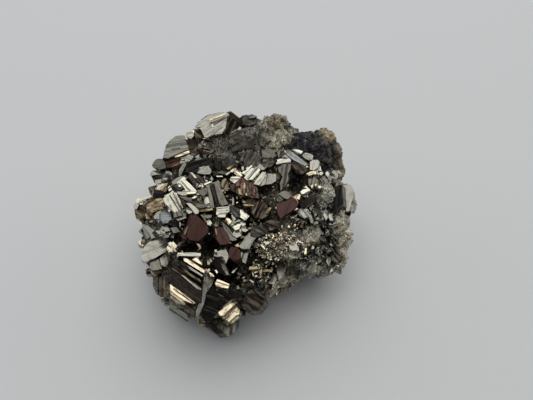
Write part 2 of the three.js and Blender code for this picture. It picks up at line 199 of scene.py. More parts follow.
# A face has bands of a few heights, each of narrow and broad ridges that lean one way or the other.
BANDS = {"width": (0.7, 2.6), "heights": (0, 0, 0.08, 0.16, 0.3, 0.45), "full_height_from": 4}
TRIMS = {"above": 0.1, "share": 0.6, "longest": 0.35}
RIDGE = {"narrow": (0.16, 0.34), "broad": (0.5, 1.3), "lift": 0.1, "lean": (6, 22), "root": 0.25}
BEVEL = {"width": 0.03, "share": 0.2}
LEANS = {"narrow": 1.5, "broad on a block": 0.55, "broad on a seen face": 0.26, "smooth": 0.25}
STEEPEST_FLASH = 0.7
THINNEST = 0.05
LEAST_REST = 0.02
TOUCHING = 0.01


def ridge_strip(corners, side, start, end, limits):
    """The part of a face between two lines across it and two limits along it."""
    strip = clipped(corners, side, end)
    strip = clipped(strip, -side, -start) if len(strip) > 2 else []
    for way, reach in limits:
        if len(strip) > 2:
            strip = clipped(strip, way, reach)
    return [point for i, point in enumerate(strip) if np.abs(point - strip[i - 1]).max() > TOUCHING]


def add_ridge(heap, strip, face, turn, middle, start, end, lift, lean, mark, skin):
    """Adds one ridge with a leaning top and a fine bevel round it."""
    normal, ridges, side, _ = face
    width = end - start
    bevel = min(BEVEL["width"], width * BEVEL["share"])
    along = [point @ ridges for point in strip]
    half_way = (max(along) + min(along)) / 2
    shrink = 1 - 2 * bevel / max(max(along) - min(along), 0.1)
    top, places = [], []
    for point, reach in zip(strip, along):
        place = point @ side
        inner = (start + end) / 2 + (place - (start + end) / 2) * (1 - 2 * bevel / width)
        rise = lift + max(lean * (inner - start), lean * (inner - end))
        inset = side * (inner - place) + ridges * (half_way + (reach - half_way) * shrink - reach)
        top.append(turn @ (point + inset + normal * rise) + middle)
        places.append((reach, place, mark))
    bottom = [turn @ (point - normal * RIDGE["root"]) + middle for point in strip]
    add_prism(heap, bottom, top, places, skin)


def add_ridges(heap, face, turn, middle, rng, mark, skin, broad_lean, flash=0, shine=None):
    """Covers one face with low steps, each of several ridges that lean their own way."""
    normal, ridges, side, corners = face
    flashing = math.atan2(shine @ side, shine @ normal) if flash else 0
    quiet = LEANS["smooth"] if flash < 0 else 1
    across = [corner @ side for corner in corners]
    low, high = min(across), max(across)
    start = low
    while start < high - THINNEST:
        band_end = min(start + rng.uniform(*BANDS["width"]), high)
        height = rng.choice(BANDS["heights"]) * min(1, (high - low) / BANDS["full_height_from"]) * quiet
        inside = clipped(corners, side, band_end)
        inside = clipped(inside, -side, -start) if len(inside) > 2 else []
        if len(inside) < 3:
            start = band_end
            continue
        lengths = [corner @ ridges for corner in inside]
        room = max(lengths) - min(lengths)
        trims = [0, 0]
        for i in range(2):
            if height > TRIMS["above"] and rng.random() < TRIMS["share"]:
                trims[i] = rng.random() ** 2 * TRIMS["longest"] * room
        limits = ((ridges, max(lengths) - trims[0]), (-ridges, -min(lengths) - trims[1]))
        while start < band_end - LEAST_REST:
            kind = "narrow" if rng.random() < 0.5 else "broad"
            end = min(start + rng.uniform(*RIDGE[kind]), band_end)
            strip = ridge_strip(corners, side, start, end, limits)
            if len(strip) > 2 and end - start > THINNEST:
                strong = (LEANS["narrow"] if kind == "narrow" else broad_lean) * quiet
                lean = math.tan(math.radians(rng.uniform(*RIDGE["lean"]) * strong * rng.choice((-1, 1))))
                if rng.random() < flash and abs(flashing) < STEEPEST_FLASH:
                    lean = math.tan(flashing)
                lift = height + rng.uniform(0.1, 1) * RIDGE["lift"] * quiet
                add_ridge(heap, strip, face, turn, middle, start, end, lift, lean, mark, skin)
            start = end
        start = band_end


BASE_GAP = 0.5
RIDGED = {"outward above": -0.15, "upward above": -0.95}
STONE_CORE = view_middle * np.array([1, 1, 0.6])


def add_block(heap, size, turn, middle, rng, skin, edge=1, corner=1):
    """Adds a block, cut off above the stone's base, with ridges on the faces that look outward."""
    size = np.array(size, float)
    mark = rng.uniform(0, 50)
    planes = block_planes(size, edge, corner, rng)
    ridges = np.cross(turn[2], turn[2][[1, 2, 0]] + 0.1)
    planes.append((-turn[2], middle[2] - BASE_GAP, ridges / np.linalg.norm(ridges)))
    faces = form_faces(planes)
    if len(faces) < 4:
        return
    add_body(heap, faces, turn, middle, mark, skin)
    outward = (middle - STONE_CORE) / np.linalg.norm(middle - STONE_CORE)
    for i, face in enumerate(faces):
        looks = turn @ face[0]
        if looks @ outward > RIDGED["outward above"] and looks[2] > RIDGED["upward above"]:
            add_ridges(heap, face, turn, middle, rng, mark + i * 3.3, skin, LEANS["broad on a block"])


def heap_mesh(name, heap):
    """Turns a heap into one mesh that keeps each corner's place on its face for the finish."""
    mesh = bpy.data.meshes.new(name)
    mesh.from_pydata(heap["points"], [], heap["faces"])
    place = mesh.attributes.new("crystal_place", "FLOAT_VECTOR", "CORNER")
    place.data.foreach_set("vector", np.array(heap["corners"], float).ravel())
    mesh.polygons.foreach_set("material_index", np.array(heap["skins"], dtype=np.int32))
    mesh.update()
    return mesh


def put(tree, kind, settings=None, **values):
    """Adds a shader node with its settings and values, and links the sockets that are given to it."""
    node = tree.nodes.new(kind)
    for setting, value in (settings or {}).items():
        setattr(node, setting, value)
    for socket, value in values.items():
        numbered = socket[0] == "_" and socket[1:].isdigit()
        entry = node.inputs[int(socket[1:]) if numbered else socket]
        if isinstance(value, bpy.types.NodeSocket):
            tree.links.new(value, entry)
        else:
            entry.default_value = value
    return node


def blank_group(name, inputs, outputs):
    """A new shader node group with named number or colour inputs and outputs."""
    group = bpy.data.node_groups.new(name, "ShaderNodeTree")
    for label, kind, value in inputs:
        socket = group.interface.new_socket(label, in_out="INPUT", socket_type=kind)
        socket.default_value = value
    for label, kind in outputs:
        group.interface.new_socket(label, in_out="OUTPUT", socket_type=kind)
    return group, group.nodes.new("NodeGroupInput").outputs, group.nodes.new("NodeGroupOutput").inputs


def growth_group():
    """Fine ridges and stains that run along a crystal face."""
    colour, number = "NodeSocketColor", "NodeSocketFloat"
    group, given, made = blank_group(
        "growth lines",
        [("Clean", colour, (0.7, 0.66, 0.55, 1)), ("Stain", colour, (0.2, 0.12, 0.08, 1)),
         ("Stain amount", number, 0.3), ("Gloss", number, 0.2)],
        [("Color", colour), ("Roughness", number), ("Height", number)],
    )
    place = put(group, "ShaderNodeAttribute", {"attribute_name": "crystal_place"}).outputs["Vector"]
    lines = put(group, "ShaderNodeMapping", Vector=place, Scale=(0.22, 2.6, 1.0))
    streak = put(group, "ShaderNodeTexNoise", Vector=lines.outputs[0], Scale=1.0, Detail=3.0, Roughness=0.6)
    blots = put(group, "ShaderNodeMapping", Vector=place, Scale=(0.5, 1.1, 1.0))
    blot = put(group, "ShaderNodeTexNoise", Vector=blots.outputs[0], Scale=1.0, Detail=4.0, Roughness=0.65)
    both = put(group, "ShaderNodeMath", {"operation": "MULTIPLY_ADD"}, _0=streak.outputs["Fac"], _1=0.5)
    group.links.new(blot.outputs["Fac"], both.inputs[2])
    lift = put(group, "ShaderNodeMath", {"operation": "ADD"}, _0=both.outputs[0], _1=given["Stain amount"])
    stained = {"Value": lift.outputs[0], "From Min": 0.95, "From Max": 1.25}
    mask = put(group, "ShaderNodeMapRange", {"interpolation_type": "SMOOTHSTEP"}, **stained)
    blend = put(group, "ShaderNodeMix", {"data_type": "RGBA"}, Factor=mask.outputs[0])
    group.links.new(given["Clean"], blend.inputs[6])
    group.links.new(given["Stain"], blend.inputs[7])
    group.links.new(blend.outputs[2], made["Color"])
    rough = put(group, "ShaderNodeMath", {"operation": "MULTIPLY_ADD"}, _0=mask.outputs[0], _1=0.25)
    group.links.new(given["Gloss"], rough.inputs[2])
    group.links.new(rough.outputs[0], made["Roughness"])
    group.links.new(streak.outputs["Fac"], made["Height"])
    return group


GROWTH = growth_group()


def crystal_finish(name, clean, stain, amount, gloss, metal):
    """The finish of a crystal skin, or of plain pyrite painted lighter or darker as light and shade."""
    finish = bpy.data.materials.new(name)
    finish.use_nodes = True
    tree = finish.node_tree
    surface = tree.nodes["Principled BSDF"]
    given = {"Clean": (*clean, 1), "Stain": (*stain, 1), "Stain amount": amount, "Gloss": gloss}
    growth = put(tree, "ShaderNodeGroup", {"node_tree": GROWTH}, **given)
    bump = put(tree, "ShaderNodeBump", Height=growth.outputs["Height"], Strength=1.0, Distance=0.05 * MM)
    tree.links.new(growth.outputs["Color"], surface.inputs["Base Color"])
    tree.links.new(growth.outputs["Roughness"], surface.inputs["Roughness"])
    tree.links.new(bump.outputs["Normal"], surface.inputs["Normal"])
    surface.inputs["Metallic"].default_value = metal
    return finish


# Bright is plain pyrite; red, russet, gold, blue and dull are skins that the crystals have.
# Cream is that pyrite painted lighter as a highlight; silver, grey, steel and slate are it painted darker,
# step by step, as shade; brown is tarnish with painted shade, and black is painted shade.
CRYSTAL_FINISHES_AND_PAINTED_LIGHT = {
    "bright": crystal_finish("bright pyrite", (0.61, 0.6, 0.51), (0.27, 0.25, 0.18), 0.22, 0.17, 1.0),
    "cream": crystal_finish("pyrite with painted cream highlight", (0.74, 0.66, 0.49), (0.34, 0.22, 0.12), 0.26, 0.18, 1.0),
    "grey": crystal_finish("grey pyrite", (0.36, 0.35, 0.305), (0.24, 0.22, 0.18), 0.25, 0.2, 1.0),
    "blue": crystal_finish("blue-grey pyrite", (0.31, 0.325, 0.32), (0.14, 0.14, 0.12), 0.28, 0.2, 1.0),
    "gold": crystal_finish("gold pyrite", (0.38, 0.31, 0.2), (0.1, 0.068, 0.036), 0.34, 0.2, 1.0),
    "russet": crystal_finish("russet pyrite", (0.22, 0.13, 0.1), (0.08, 0.036, 0.028), 0.34, 0.24, 0.9),
    "brown": crystal_finish("brown tarnish with painted shade", (0.12, 0.098, 0.074), (0.035, 0.024, 0.02), 0.34, 0.2, 0.9),
    "red": crystal_finish("red skin", (0.092, 0.03, 0.019), (0.045, 0.018, 0.016), 0.26, 0.4, 0.2),
    "black": crystal_finish("black painted shade", (0.04, 0.036, 0.031), (0.015, 0.012, 0.01), 0.3, 0.22, 0.8),
    "dull": crystal_finish("dull skin", (0.17, 0.16, 0.14), (0.07, 0.06, 0.05), 0.4, 0.42, 0.7),
    "slate": crystal_finish("pyrite with deep painted shade", (0.165, 0.16, 0.135), (0.105, 0.095, 0.07), 0.26, 0.24, 1.0),
    "steel": crystal_finish("pyrite with painted half shade", (0.255, 0.25, 0.215), (0.175, 0.16, 0.13), 0.22, 0.22, 1.0),
    "silver": crystal_finish("pyrite with light painted shade", (0.45, 0.44, 0.375), (0.22, 0.2, 0.155), 0.24, 0.2, 1.0),
}
SKINS = list(CRYSTAL_FINISHES_AND_PAINTED_LIGHT)

# The blocks under the seen faces: place across and up as seen, size, degrees that the block looks right and
# up and is rolled, how far it stands out, its skin, and what its edges and corners keep of their reach.
CRYSTALS = [
    ((-9, 29.6), (8, 7.5, 8), (-20, 24, 20), 1.5, "grey", 0.86, 0.92),
    ((-3, 30.4), (6, 5.5, 6), (40, 10, -30), 0.5, "brown"),
    ((-16.2, 27), (3.4, 3.2, 4), (-20, 20, 0), 1, "cream", 0.75, 0.8),
    ((-20.4, 23.2), (8, 6.6, 7), (-18, 30, 8), 1.5, "grey", 0.8, 0.9),
    ((-20.1, 18.8), (7, 3.4, 5.5), (-6, -12, 12), 3, "brown"),
    ((-25.5, 17.9), (4.2, 3.2, 4), (-20, 14, 5), 1.5, "grey"),
    ((-26.1, 14.9), (4.2, 3.4, 4.6), (-30, 20, -22), 1, "grey"),
    ((-23.4, 14.3), (4.4, 4, 4.6), (10, -16, -25), 1.5, "brown"),
    ((-24.9, 12.5), (3.4, 2.4, 4), (-10, 30, 10), 2, "grey"),
    ((-24.2, 10.8), (3.4, 2.2, 4), (-6, 21, 34), 2.6, "cream"),
    ((-16.2, 18.8), (6.2, 5, 6), (-4, 34, 16), 3, "grey"),
    ((-16.2, 16), (8.5, 5, 6), (2, -10, 14), 2.4, "brown"),
    ((-11.8, 16.1), (3.4, 2.2, 4), (8, 32, 8), 4, "grey"),
    ((-14.1, 23.3), (6.4, 5, 5), (8, 0, 12), 3, "gold", 0.85),
    ((-9.6, 17), (5, 7, 6), (14, -6, 70), 2.6, "brown"),
    ((-5.7, 18.2), (4.4, 5, 5), (4, -8, 10), 3, "grey"),
    ((-17.1, 11.4), (6.4, 3.2, 5), (-6, 22, -40), 3.6, "bright"),
    ((-21.3, 6.6), (6.2, 4.2, 6), (-8, 20, -66), 4.2, "bright"),
    ((-19.8, 3.2), (4.4, 3.2, 5), (10, -14, -66), 3, "grey"),
    ((-14.7, 7.4), (7.5, 4.6, 6), (4, 10, -8), 3.6, "bright"),
    ((-13.2, 4.7), (5, 2.6, 5), (0, -10, -14), 3.8, "gold"),
    ((-11.7, 11), (5, 3.4, 5), (6, 12, -20), 2.8, "grey"),
    ((-8, 8.9), (7, 3.9, 6), (12, 6, -72), 4, "grey"),
    ((-10.5, 6.2), (2.4, 2.4, 4), (8, 21, 5), 4.4, "bright"),
    ((-0.6, 10.7), (5.2, 6, 6.5), (-4, -2, 64), 4, "russet"),
    ((-2.7, 12.8), (2.4, 2.4, 4), (-4, 22, 20), 4.2, "cream"),
    ((2.1, 15.5), (5, 3, 5), (4, 21, 47), 4.4, "bright"),
    ((4.5, 13.1), (4, 2.4, 5), (6, 21, 52), 4.4, "bright"),
    ((8.1, 13.4), (2.6, 3, 4), (14, 16, 80), 3.4, "cream"),
    ((-2.4, 15.2), (3.4, 1.4, 3), (0, 22, -40), 3.4, "cream"),
    ((-6.2, 3.5), (3.4, 2.6, 4), (2, 21, -4), 4.6, "bright"),
    ((-3.3, 4.1), (3.8, 2.2, 4), (10, 34, -42), 4.4, "blue"),
    ((-0.3, 2.6), (2.6, 1.8, 4), (4, 21, -40), 4.6, "bright"),
    ((3.8, 5.6), (6, 6.4, 7), (6, -8, 58), 3.8, "gold"),
    ((12.5, 4.7), (4.8, 4.4, 6), (0, 0, 20), 4.6, "red"),
    ((12, 8.3), (3.4, 2.2, 4), (-6, 14, -34), 4.2, "grey"),
    ((15.9, 7.5), (2.2, 2.2, 3), (-8, 20, 30), 3.4, "cream"),
    ((18.3, 9.8), (2.6, 2.2, 3), (4, 21, 40), 3.4, "bright"),
    ((20.9, 11.1), (2.6, 2.2, 3), (10, 20, 20), 3.4, "cream"),
    ((11.7, 18.6), (3.8, 1.8, 4), (0, 26, 16), 4.4, "bright"),
    ((16.2, 20), (5, 2.6, 5), (4, 36, -34), 4.4, "blue"),
    ((17.1, 17.6), (6, 3.4, 5), (-4, -10, -36), 4, "brown"),
    ((18.9, 20.1), (3, 1.9, 3), (10, 24, -18), 4, "bright"),
    ((21.3, 17), (3, 3.4, 4), (0, 20, 8), 4.4, "bright"),
    ((20.4, 14.9), (3.6, 1.4, 3), (0, 23, 10), 4.4, "cream"),
    ((24.3, 13), (2.6, 3, 4), (10, 20, 40), 3.6, "grey"),
    ((30.9, 8), (7.4, 3.4, 5.5), (30, 24, 84), 2, "grey", 0.9),
    ((30.3, 3.8), (4.4, 4.4, 5), (26, 0, 60), 1, "grey", 0.84),
    ((-28.2, 4.7), (8.5, 5.6, 8), (-14, -12, 16), 2, "gold", 1, 0.95),
    ((-29.1, 7.4), (7.6, 2, 5), (-10, 30, 15), 2, "cream"),
    ((-31.8, 3.5), (4.4, 5, 6), (-48, -14, -10), 0.5, "grey", 0.86),
    ((-24, 2), (4.6, 4, 5), (0, 34, 12), 4, "blue", 0.82),
    ((-28.7, -2.3), (5, 3.2, 5), (-30, 14, -52), 1.2, "grey"),
    ((-22.7, -2.3), (4.2, 2.2, 4), (0, 12, -14), 3.4, "grey"),
    ((-14.1, -2.3), (5, 6, 6.5), (0, 2, 62), 4.6, "red"),
    ((-17.1, -2.3), (5, 2, 5), (-24, 4, 62), 3.6, "russet"),
    ((-6.6, -4), (4.2, 3.6, 5), (-2, 0, -62), 4.2, "red"),
    ((-3, -9.2), (3.2, 3.2, 4), (0, 0, 70), 4.4, "red", 0.8),
    ((1.2, -5.9), (6, 3.2, 5), (14, 30, 62), 4.2, "blue", 0.92),
    ((-2.7, -1.4), (4.6, 3, 4.6), (12, 26, -52), 3.6, "bright"),
    ((-4.5, 0.5), (2.2, 1.8, 3), (0, 20, 15), 4, "bright"),
    ((-0.9, -0.2), (2.4, 1.8, 3), (8, 21, 40), 4, "bright"),
    ((-26.1, -7.7), (7.8, 6, 8.6), (-16, 38, 14), 2.5, "grey", 0.8),
    ((-21.6, -7.1), (2, 3, 3), (10, 20, -50), 5, "cream"),
    ((-17.4, -18.8), (10.4, 11.4, 9), (-34, -8, -32), 6, "brown"),
    ((-16.5, -9.5), (5.8, 1.3, 5), (0, 21, -3), 5, "cream"),
    ((-14.1, -11.5), (3, 1.5, 4), (0, 21, -40), 5.5, "cream"),
    ((-19.2, -26.5), (8, 4, 7), (-24, -24, -34), 2, "grey"),
    ((-25.2, -19), (5.4, 3.2, 5.5), (-34, 6, 84), 1, "grey", 0.88),
    ((-6.6, -20.9), (5, 5, 6), (6, -8, -20), 3.4, "brown"),
    ((-6.6, -18.2), (3.4, 1.9, 4), (2, 21, -24), 5, "cream"),
    ((-6.9, -9.8), (3.8, 2.2, 4), (4, 21, -18), 4, "bright"),
    ((-5.7, -13.4), (6, 2.2, 5), (22, 0, -58), 3, "grey"),
    ((-4.8, -25.7), (5.4, 2.6, 6), (0, 21, 42), 5, "cream"),
    ((-3.3, -27.8), (4.6, 1.6, 5), (4, 21, 42), 4.6, "cream"),
    ((-4.5, -30.5), (5.4, 4.6, 6), (4, -18, 20), 2, "grey", 0.84),
    ((3, -23), (5.6, 5, 6.5), (-4, -6, -30), 4, "brown", 0.92),
    ((4.5, -24.8), (2.6, 2.6, 3), (10, -10, 0), 3.4, "grey"),
    ((-0.3, -17.3), (5, 4, 5), (4, -12, 12), 2.4, "brown"),
    ((3.3, -13.4), (3, 2.2, 4), (0, 20, 10), 3, "grey"),
    ((14.7, -7.1), (2.2, 3, 4), (-4, 28, 12), 5, "grey"),
    ((18, 2.9), (4, 2.8, 4.4), (6, 30, -58), 4.6, "blue"),
]
SUNK = 0.55
ROOT_SIZE = 0.82


def add_root(heap, rng, at, size, face, proud, skin, edge=1, corner=1):
    """Adds the block that lies under a crystal's seen face."""
    turn = facing(*face)
    size = np.array(size, float) * ROOT_SIZE
    middle = on_sight(at, proud - SUNK * size.mean()) - turn[:, 2] * size[2] / 2
    add_block(heap, size, turn, middle, rng, SKINS.index(skin), edge, corner)


# A face's skin paints how light or dark the face looks as well as its colour; black faces are painted shade.
# The seen faces: skin, degrees that the face looks right and up of the way in which it would mirror the lamp
# overhead, way of its ridges, how far it stands out, how deep it reaches, the share of its ridges that
# flash, with -1 for a smooth face, and its outline across and up as seen.
FACES = {
    # Top left: the peak, the hood and the fins of the left edge
    "peak": ("grey", (-2, 13), 35, 7.4, 6, -1, [(-12.9, 31), (-11.4, 32.2), (-9.3, 32.9), (-6.6, 33.3),
        (-5.1, 33.1), (-4.4, 32.5), (-5.6, 28.3), (-6.6, 26.8), (-9, 26.6), (-10.5, 25.8), (-11.8, 25.7),
        (-12.7, 27.7), (-13.2, 29.2)]),
    # The two peak lines are thin strips laid on the peak face: painted highlights along its step edges.
    "peak line": ("cream", (0, 12), 25, 7.48, 0.6, -1, [(-10.5, 31.1), (-5.7, 32.9), (-5.3, 32.7),
        (-10.1, 30.7)]),
    "peak line two": ("bright", (0, 12), -60, 7.48, 0.6, -1, [(-10.5, 30.8), (-10, 30.8), (-9, 28.9),
        (-9.4, 28.7)]),
    "peak wall": ("brown", (30, -14), 60, 4.4, 6, 0, [(-4.5, 32.2), (-3, 31), (-1.5, 29.8), (-1.8, 28.6),
        (-3.6, 27.7), (-5.1, 26.8), (-6.6, 26.8), (-5.4, 28.6)]),
    "peak left": ("grey", (-14, 8), 30, 3.6, 6, 0, [(-14.6, 28.9), (-14.1, 29.9), (-13, 30.7),
        (-12.7, 29.6), (-13.1, 28.6), (-14.1, 28.7)]),
    "pebble": ("grey", (-4, 6), 10, 1, 4, -1, [(-17.1, 27.5), (-16.2, 28), (-15.3, 27.4), (-15, 26),
        (-15.9, 25.2), (-16.9, 25.7), (-17.4, 26.8)]),
    "pebble wall": ("gold", (4, -12), -40, 0, 5, 0.4, [(-15, 27.9), (-13.2, 28.3), (-12.3, 27.1),
        (-11.8, 25.5), (-14.4, 25.3), (-14.8, 26.2)]),
    "hood": ("steel", (-8, 18), 8, 1.8, 7, -1, [(-24.3, 19.6), (-23.9, 21.4), (-23.4, 23.2), (-22.2, 24.8),
        (-20.4, 26.2), (-17.8, 26.4), (-17.4, 25.3), (-16.9, 23.5), (-16.5, 22.2), (-18.9, 21.3),
        (-20.7, 20.4), (-22.8, 19.4)]),
    "hood lip": ("cream", (0, 0), 15, 3.4, 4, 0, [(-21, 19.9), (-18.6, 20.9), (-16.5, 21.8), (-16.2, 21.2),
        (-18.3, 20.3), (-20.4, 19.6)]),
    "hood sill": ("russet", (0, -18), 15, 2.2, 6, 0, [(-24.3, 19.3), (-21.3, 19.9), (-16.8, 20.8),
        (-17.1, 19.6), (-19.2, 17.9), (-20.7, 16.8), (-23.4, 16.4), (-23.6, 18.7)]),
    "left knuckle": ("slate", (-14, 22), 5, 1.6, 5, -1, [(-27.6, 17.3), (-27, 18.4), (-25.8, 19.1),
        (-24.9, 19.1), (-23.5, 18.8), (-23.4, 16.6), (-25.2, 16.2), (-26.7, 16.7)]),
    "left fin top": ("grey", (-4, 15), -12, 2, 4, -1, [(-27.3, 15.9), (-25.2, 15.7), (-24.1, 15.9),
        (-22.2, 15.5), (-20.8, 14.3), (-22.8, 14.4), (-25.8, 14.6), (-27.8, 14.4)]),
    "left fin": ("brown", (-20, -16), -20, 1.6, 5, 0, [(-27.8, 14.2), (-24.6, 14.5), (-20.4, 14), (-21, 13),
        (-23.7, 12.3), (-25.8, 11.8), (-26.8, 12.1)]),
    "left wedge": ("grey", (-6, 15), 10, 2.2, 4, -1, [(-26.7, 12.9), (-25.2, 13.2), (-23.7, 13.2),
        (-24.9, 12.1), (-26.4, 11.6)]),
    "cream wedge": ("cream", (0, 0), 35, 3.4, 4, 0, [(-26.1, 10), (-25.2, 10.8), (-24, 11.8), (-22.8, 12.1),
        (-23.3, 10.9), (-24.3, 9.8)]),
    "wedge tan": ("gold", (0, 9), 50, 2.6, 4, 0, [(-24, 10.5), (-22.6, 10.6), (-23.4, 9.1), (-24.7, 9.6)]),
    "wedge star": ("bright", (0, 2), 50, 3, 3, 0, [(-22.8, 10.9), (-22.2, 11.3), (-21.5, 10),
        (-22.5, 9.6)]),
    "wedge foot": ("black", (-8, -16), 0, 2, 5, 0.12, [(-27, 9.9), (-24.9, 9.7), (-23.7, 8.8), (-23.1, 8.1),
        (-25.2, 7.8), (-27.3, 7.9)]),
    # Below the hood: the roof, the loaf and the slabs beside it
    "roof": ("grey", (0, 15), -18, 4.2, 5, -1, [(-16.6, 20.5), (-13.1, 19.5), (-15.6, 18.6), (-17.1, 18),
        (-17.7, 19)]),
    "roof strip": ("grey", (4, 12), 62, 4, 5, 0, [(-17.7, 18.7), (-17.1, 17.8), (-18, 16.3), (-18.7, 14.4),
        (-19.6, 14.1), (-19.4, 16), (-18.6, 17.3)]),
    "roof comb": ("brown", (0, -16), 62, 2.6, 5, 0.4, [(-21, 16.3), (-18.9, 17.6), (-19.5, 16),
        (-20.1, 14.2), (-21.6, 14.8)]),
    "roof wall": ("black", (2, -12), 20, 2.8, 6, 0.25, [(-16, 18.3), (-12.9, 19.1), (-10.2, 18.8),
        (-9, 17.5), (-9.5, 15.9), (-10.8, 17.2), (-12.3, 16.9), (-14.1, 15.4), (-15, 15), (-17.4, 15.3),
        (-17.1, 16.8)]),
    "roof chip": ("steel", (0, 10), 15, 4, 4, -1, [(-14.1, 15.1), (-12.9, 16.4), (-11.4, 17), (-10.2, 16.6),
        (-9.7, 15.7), (-10.2, 14.7), (-12.3, 14.7)]),
    "brown loaf": ("brown", (4, -14), -35, 2.8, 6, 0.2, [(-17.4, 25.1), (-15.6, 25.2), (-13.2, 24.9),
        (-11.4, 24.5), (-9.6, 23.2), (-9, 21.7), (-9.6, 20), (-11.4, 19.8), (-13.5, 19.8), (-15.9, 21.1),
        (-16.5, 22.6)]),
    "loaf crest": ("russet", (10, -10), -35, 3, 4, 0.25, [(-13.2, 25), (-11.4, 25.2), (-9.9, 24.7),
        (-8.1, 23.2), (-7.8, 22), (-9.3, 22.3), (-11.4, 23.9)]),
    "loaf back": ("brown", (0, -18), -30, 1.8, 5, 0.2, [(-12, 25.7), (-9.3, 25.9), (-6.9, 26.2),
        (-6.6, 24.7), (-7.8, 23.8), (-9, 24.1), (-11.4, 25.3)]),
    "red chip": ("red", (0, -10), 70, 3, 4, 0, [(-8.7, 23.8), (-7.5, 23.9), (-7.2, 22), (-8.3, 22)]),
    "gold chip": ("gold", (0, 2), 70, 3, 3, 0, [(-7.3, 22.9), (-6.5, 22.7), (-6.6, 21.8), (-7.2, 21.8)]),
    "dark slab": ("black", (8, -15), 80, 3, 6, 0.12, [(-8.9, 19.9), (-6, 19.4), (-5.6, 16), (-7.8, 15.9),
        (-9.3, 17.2)]),
    "grey slab": ("dull", (8, -13), 70, 3, 6, 0.4, [(-5.4, 19.7), (-2.4, 19.6), (-2.3, 16.6), (-3.9, 15.9),
        (-5.4, 16.3)]),
    "slab sliver": ("cream", (0, 3), -60, 6, 3, 0, [(-8.3, 21.7), (-7.4, 21.4), (-6.5, 19.9),
        (-7.5, 19.6)]),
    "slab bar": ("gold", (0, 3), 5, 3.4, 3, 0, [(-6.6, 20.9), (-4.5, 21.1), (-4.2, 20.6), (-6, 20.3)]),
    "slab line": ("gold", (0, 3), 40, 3.5, 3, 0, [(-5.3, 16.3), (-3.3, 17.6), (-2.9, 17.2), (-4.5, 15.9)]),
    "slab foot": ("brown", (0, 5), -5, 3.4, 3, 0, [(-8.3, 15.4), (-6.6, 15.6), (-4.2, 15.2), (-4.5, 14.6),
        (-6.6, 14.8)]),
    "foot white": ("bright", (0, 1), 40, 3.6, 3, 0, [(-5.6, 14.7), (-4.1, 15.6), (-4.1, 15), (-5.1, 14.3)]),
    "comb foot": ("bright", (0, 0), -55, 5.6, 3, 0, [(-16.2, 15.3), (-15.3, 15.1), (-14.1, 13.6),
        (-15, 13.5)]),
    # Left middle: tiles, combs, planks and sheaves
    "mid tile": ("brown", (4, -10), -50, 3.2, 6, 0.3, [(-15.6, 14.9), (-13.2, 14.4), (-11.7, 13),
        (-11.1, 11.2), (-12.9, 9.9), (-14.4, 10.9), (-16, 12.7), (-16.9, 13.9)]),
    "tile low": ("slate", (4, -8), -50, 3.2, 5, 0.25, [(-14.1, 9.9), (-12.6, 10.2), (-11.1, 10.9),
        (-10.5, 9.1), (-12.3, 8.1), (-13.3, 8.8)]),
    "tile sliver": ("bright", (0, 0), 20, 4, 3, 0, [(-12.1, 11.8), (-10.2, 12.6), (-9.5, 12.4),
        (-11.7, 11.4)]),
    "left comb": ("bright", (0, 0), -45, 4.4, 5, 0, [(-18.9, 12.9), (-17.7, 13.1), (-16.2, 11.8),
        (-14.4, 9.9), (-14.1, 9.4), (-16, 9.6), (-17.4, 10.9)]),
    "left comb two": ("bright", (0, 0), -48, 4, 4, 0, [(-19.3, 12.4), (-18.9, 12.4), (-16.4, 9.7),
        (-17.1, 9.6)]),
    "comb blue": ("steel", (-2, 17), 30, 3.6, 5, 0, [(-21.6, 12.3), (-20.4, 13.4), (-18.9, 14.1),
        (-17.4, 13.8), (-18.6, 13), (-19.8, 12), (-21.3, 11.5)]),
    "comb bits": ("slate", (0, -10), -45, 3.2, 4, 0.5, [(-21.3, 11.4), (-19.8, 11.8), (-18.6, 10),
        (-19.8, 9.9)]),
    "comb star": ("bright", (0, 0), 30, 4, 3, 0, [(-19.7, 11.5), (-19, 11.6), (-18.8, 10.9),
        (-19.5, 10.8)]),
    "left plank": ("silver", (0, 1), -65, 4.4, 6, -1, [(-23.7, 7.6), (-22.8, 8.6), (-21.3, 9.9),
        (-20.1, 8.2), (-18.6, 6.7), (-18.1, 4.9), (-19.2, 3.7), (-20.4, 2.9), (-21.3, 3.7), (-22.5, 4.9),
        (-23.7, 6)]),
    "plank side": ("russet", (20, -14), -65, 4, 5, 0, [(-19.2, 7.2), (-18, 7), (-17, 4.6), (-17, 2.1),
        (-17.8, 4.5), (-18.7, 6.3)]),
    "plank foot": ("slate", (0, 17), -70, 3.6, 5, 0, [(-21, 2.8), (-19.2, 3.7), (-18, 4.5), (-17.4, 3.4),
        (-17.3, 1.9), (-19.8, 1), (-21, 1.3)]),
    "foot line": ("steel", (0, 1), 18, 3.8, 3, 0, [(-20.1, 1.1), (-17.4, 2), (-17.3, 1.6), (-19.8, 0.7)]),
    "sheaf top": ("grey", (0, 12), 2, 3.8, 5, 0.25, [(-20.2, 9.5), (-18, 9.4), (-15.9, 9.7), (-14.4, 9.3),
        (-13.4, 8.5), (-14.4, 7.9), (-16.2, 8.2), (-18.6, 8.2), (-19.8, 8.7)]),
    "sheaf line": ("cream", (0, 0), 3, 4.8, 3, 0, [(-17.4, 9.1), (-15.9, 9.5), (-14.2, 9.3), (-14.7, 8.9),
        (-17.1, 8.7)]),
    "sheaf two": ("slate", (0, 21), -5, 3.6, 5, 0, [(-19.5, 8.1), (-16.2, 7.8), (-14.1, 7.6), (-13.1, 6.9),
        (-15, 6), (-17.1, 6.6), (-18.6, 7.4)]),
    "sheaf spark": ("bright", (0, 0), 15, 4.2, 3, 0, [(-15.7, 7.6), (-14.7, 8.2), (-14, 7.9),
        (-15.1, 7.4)]),
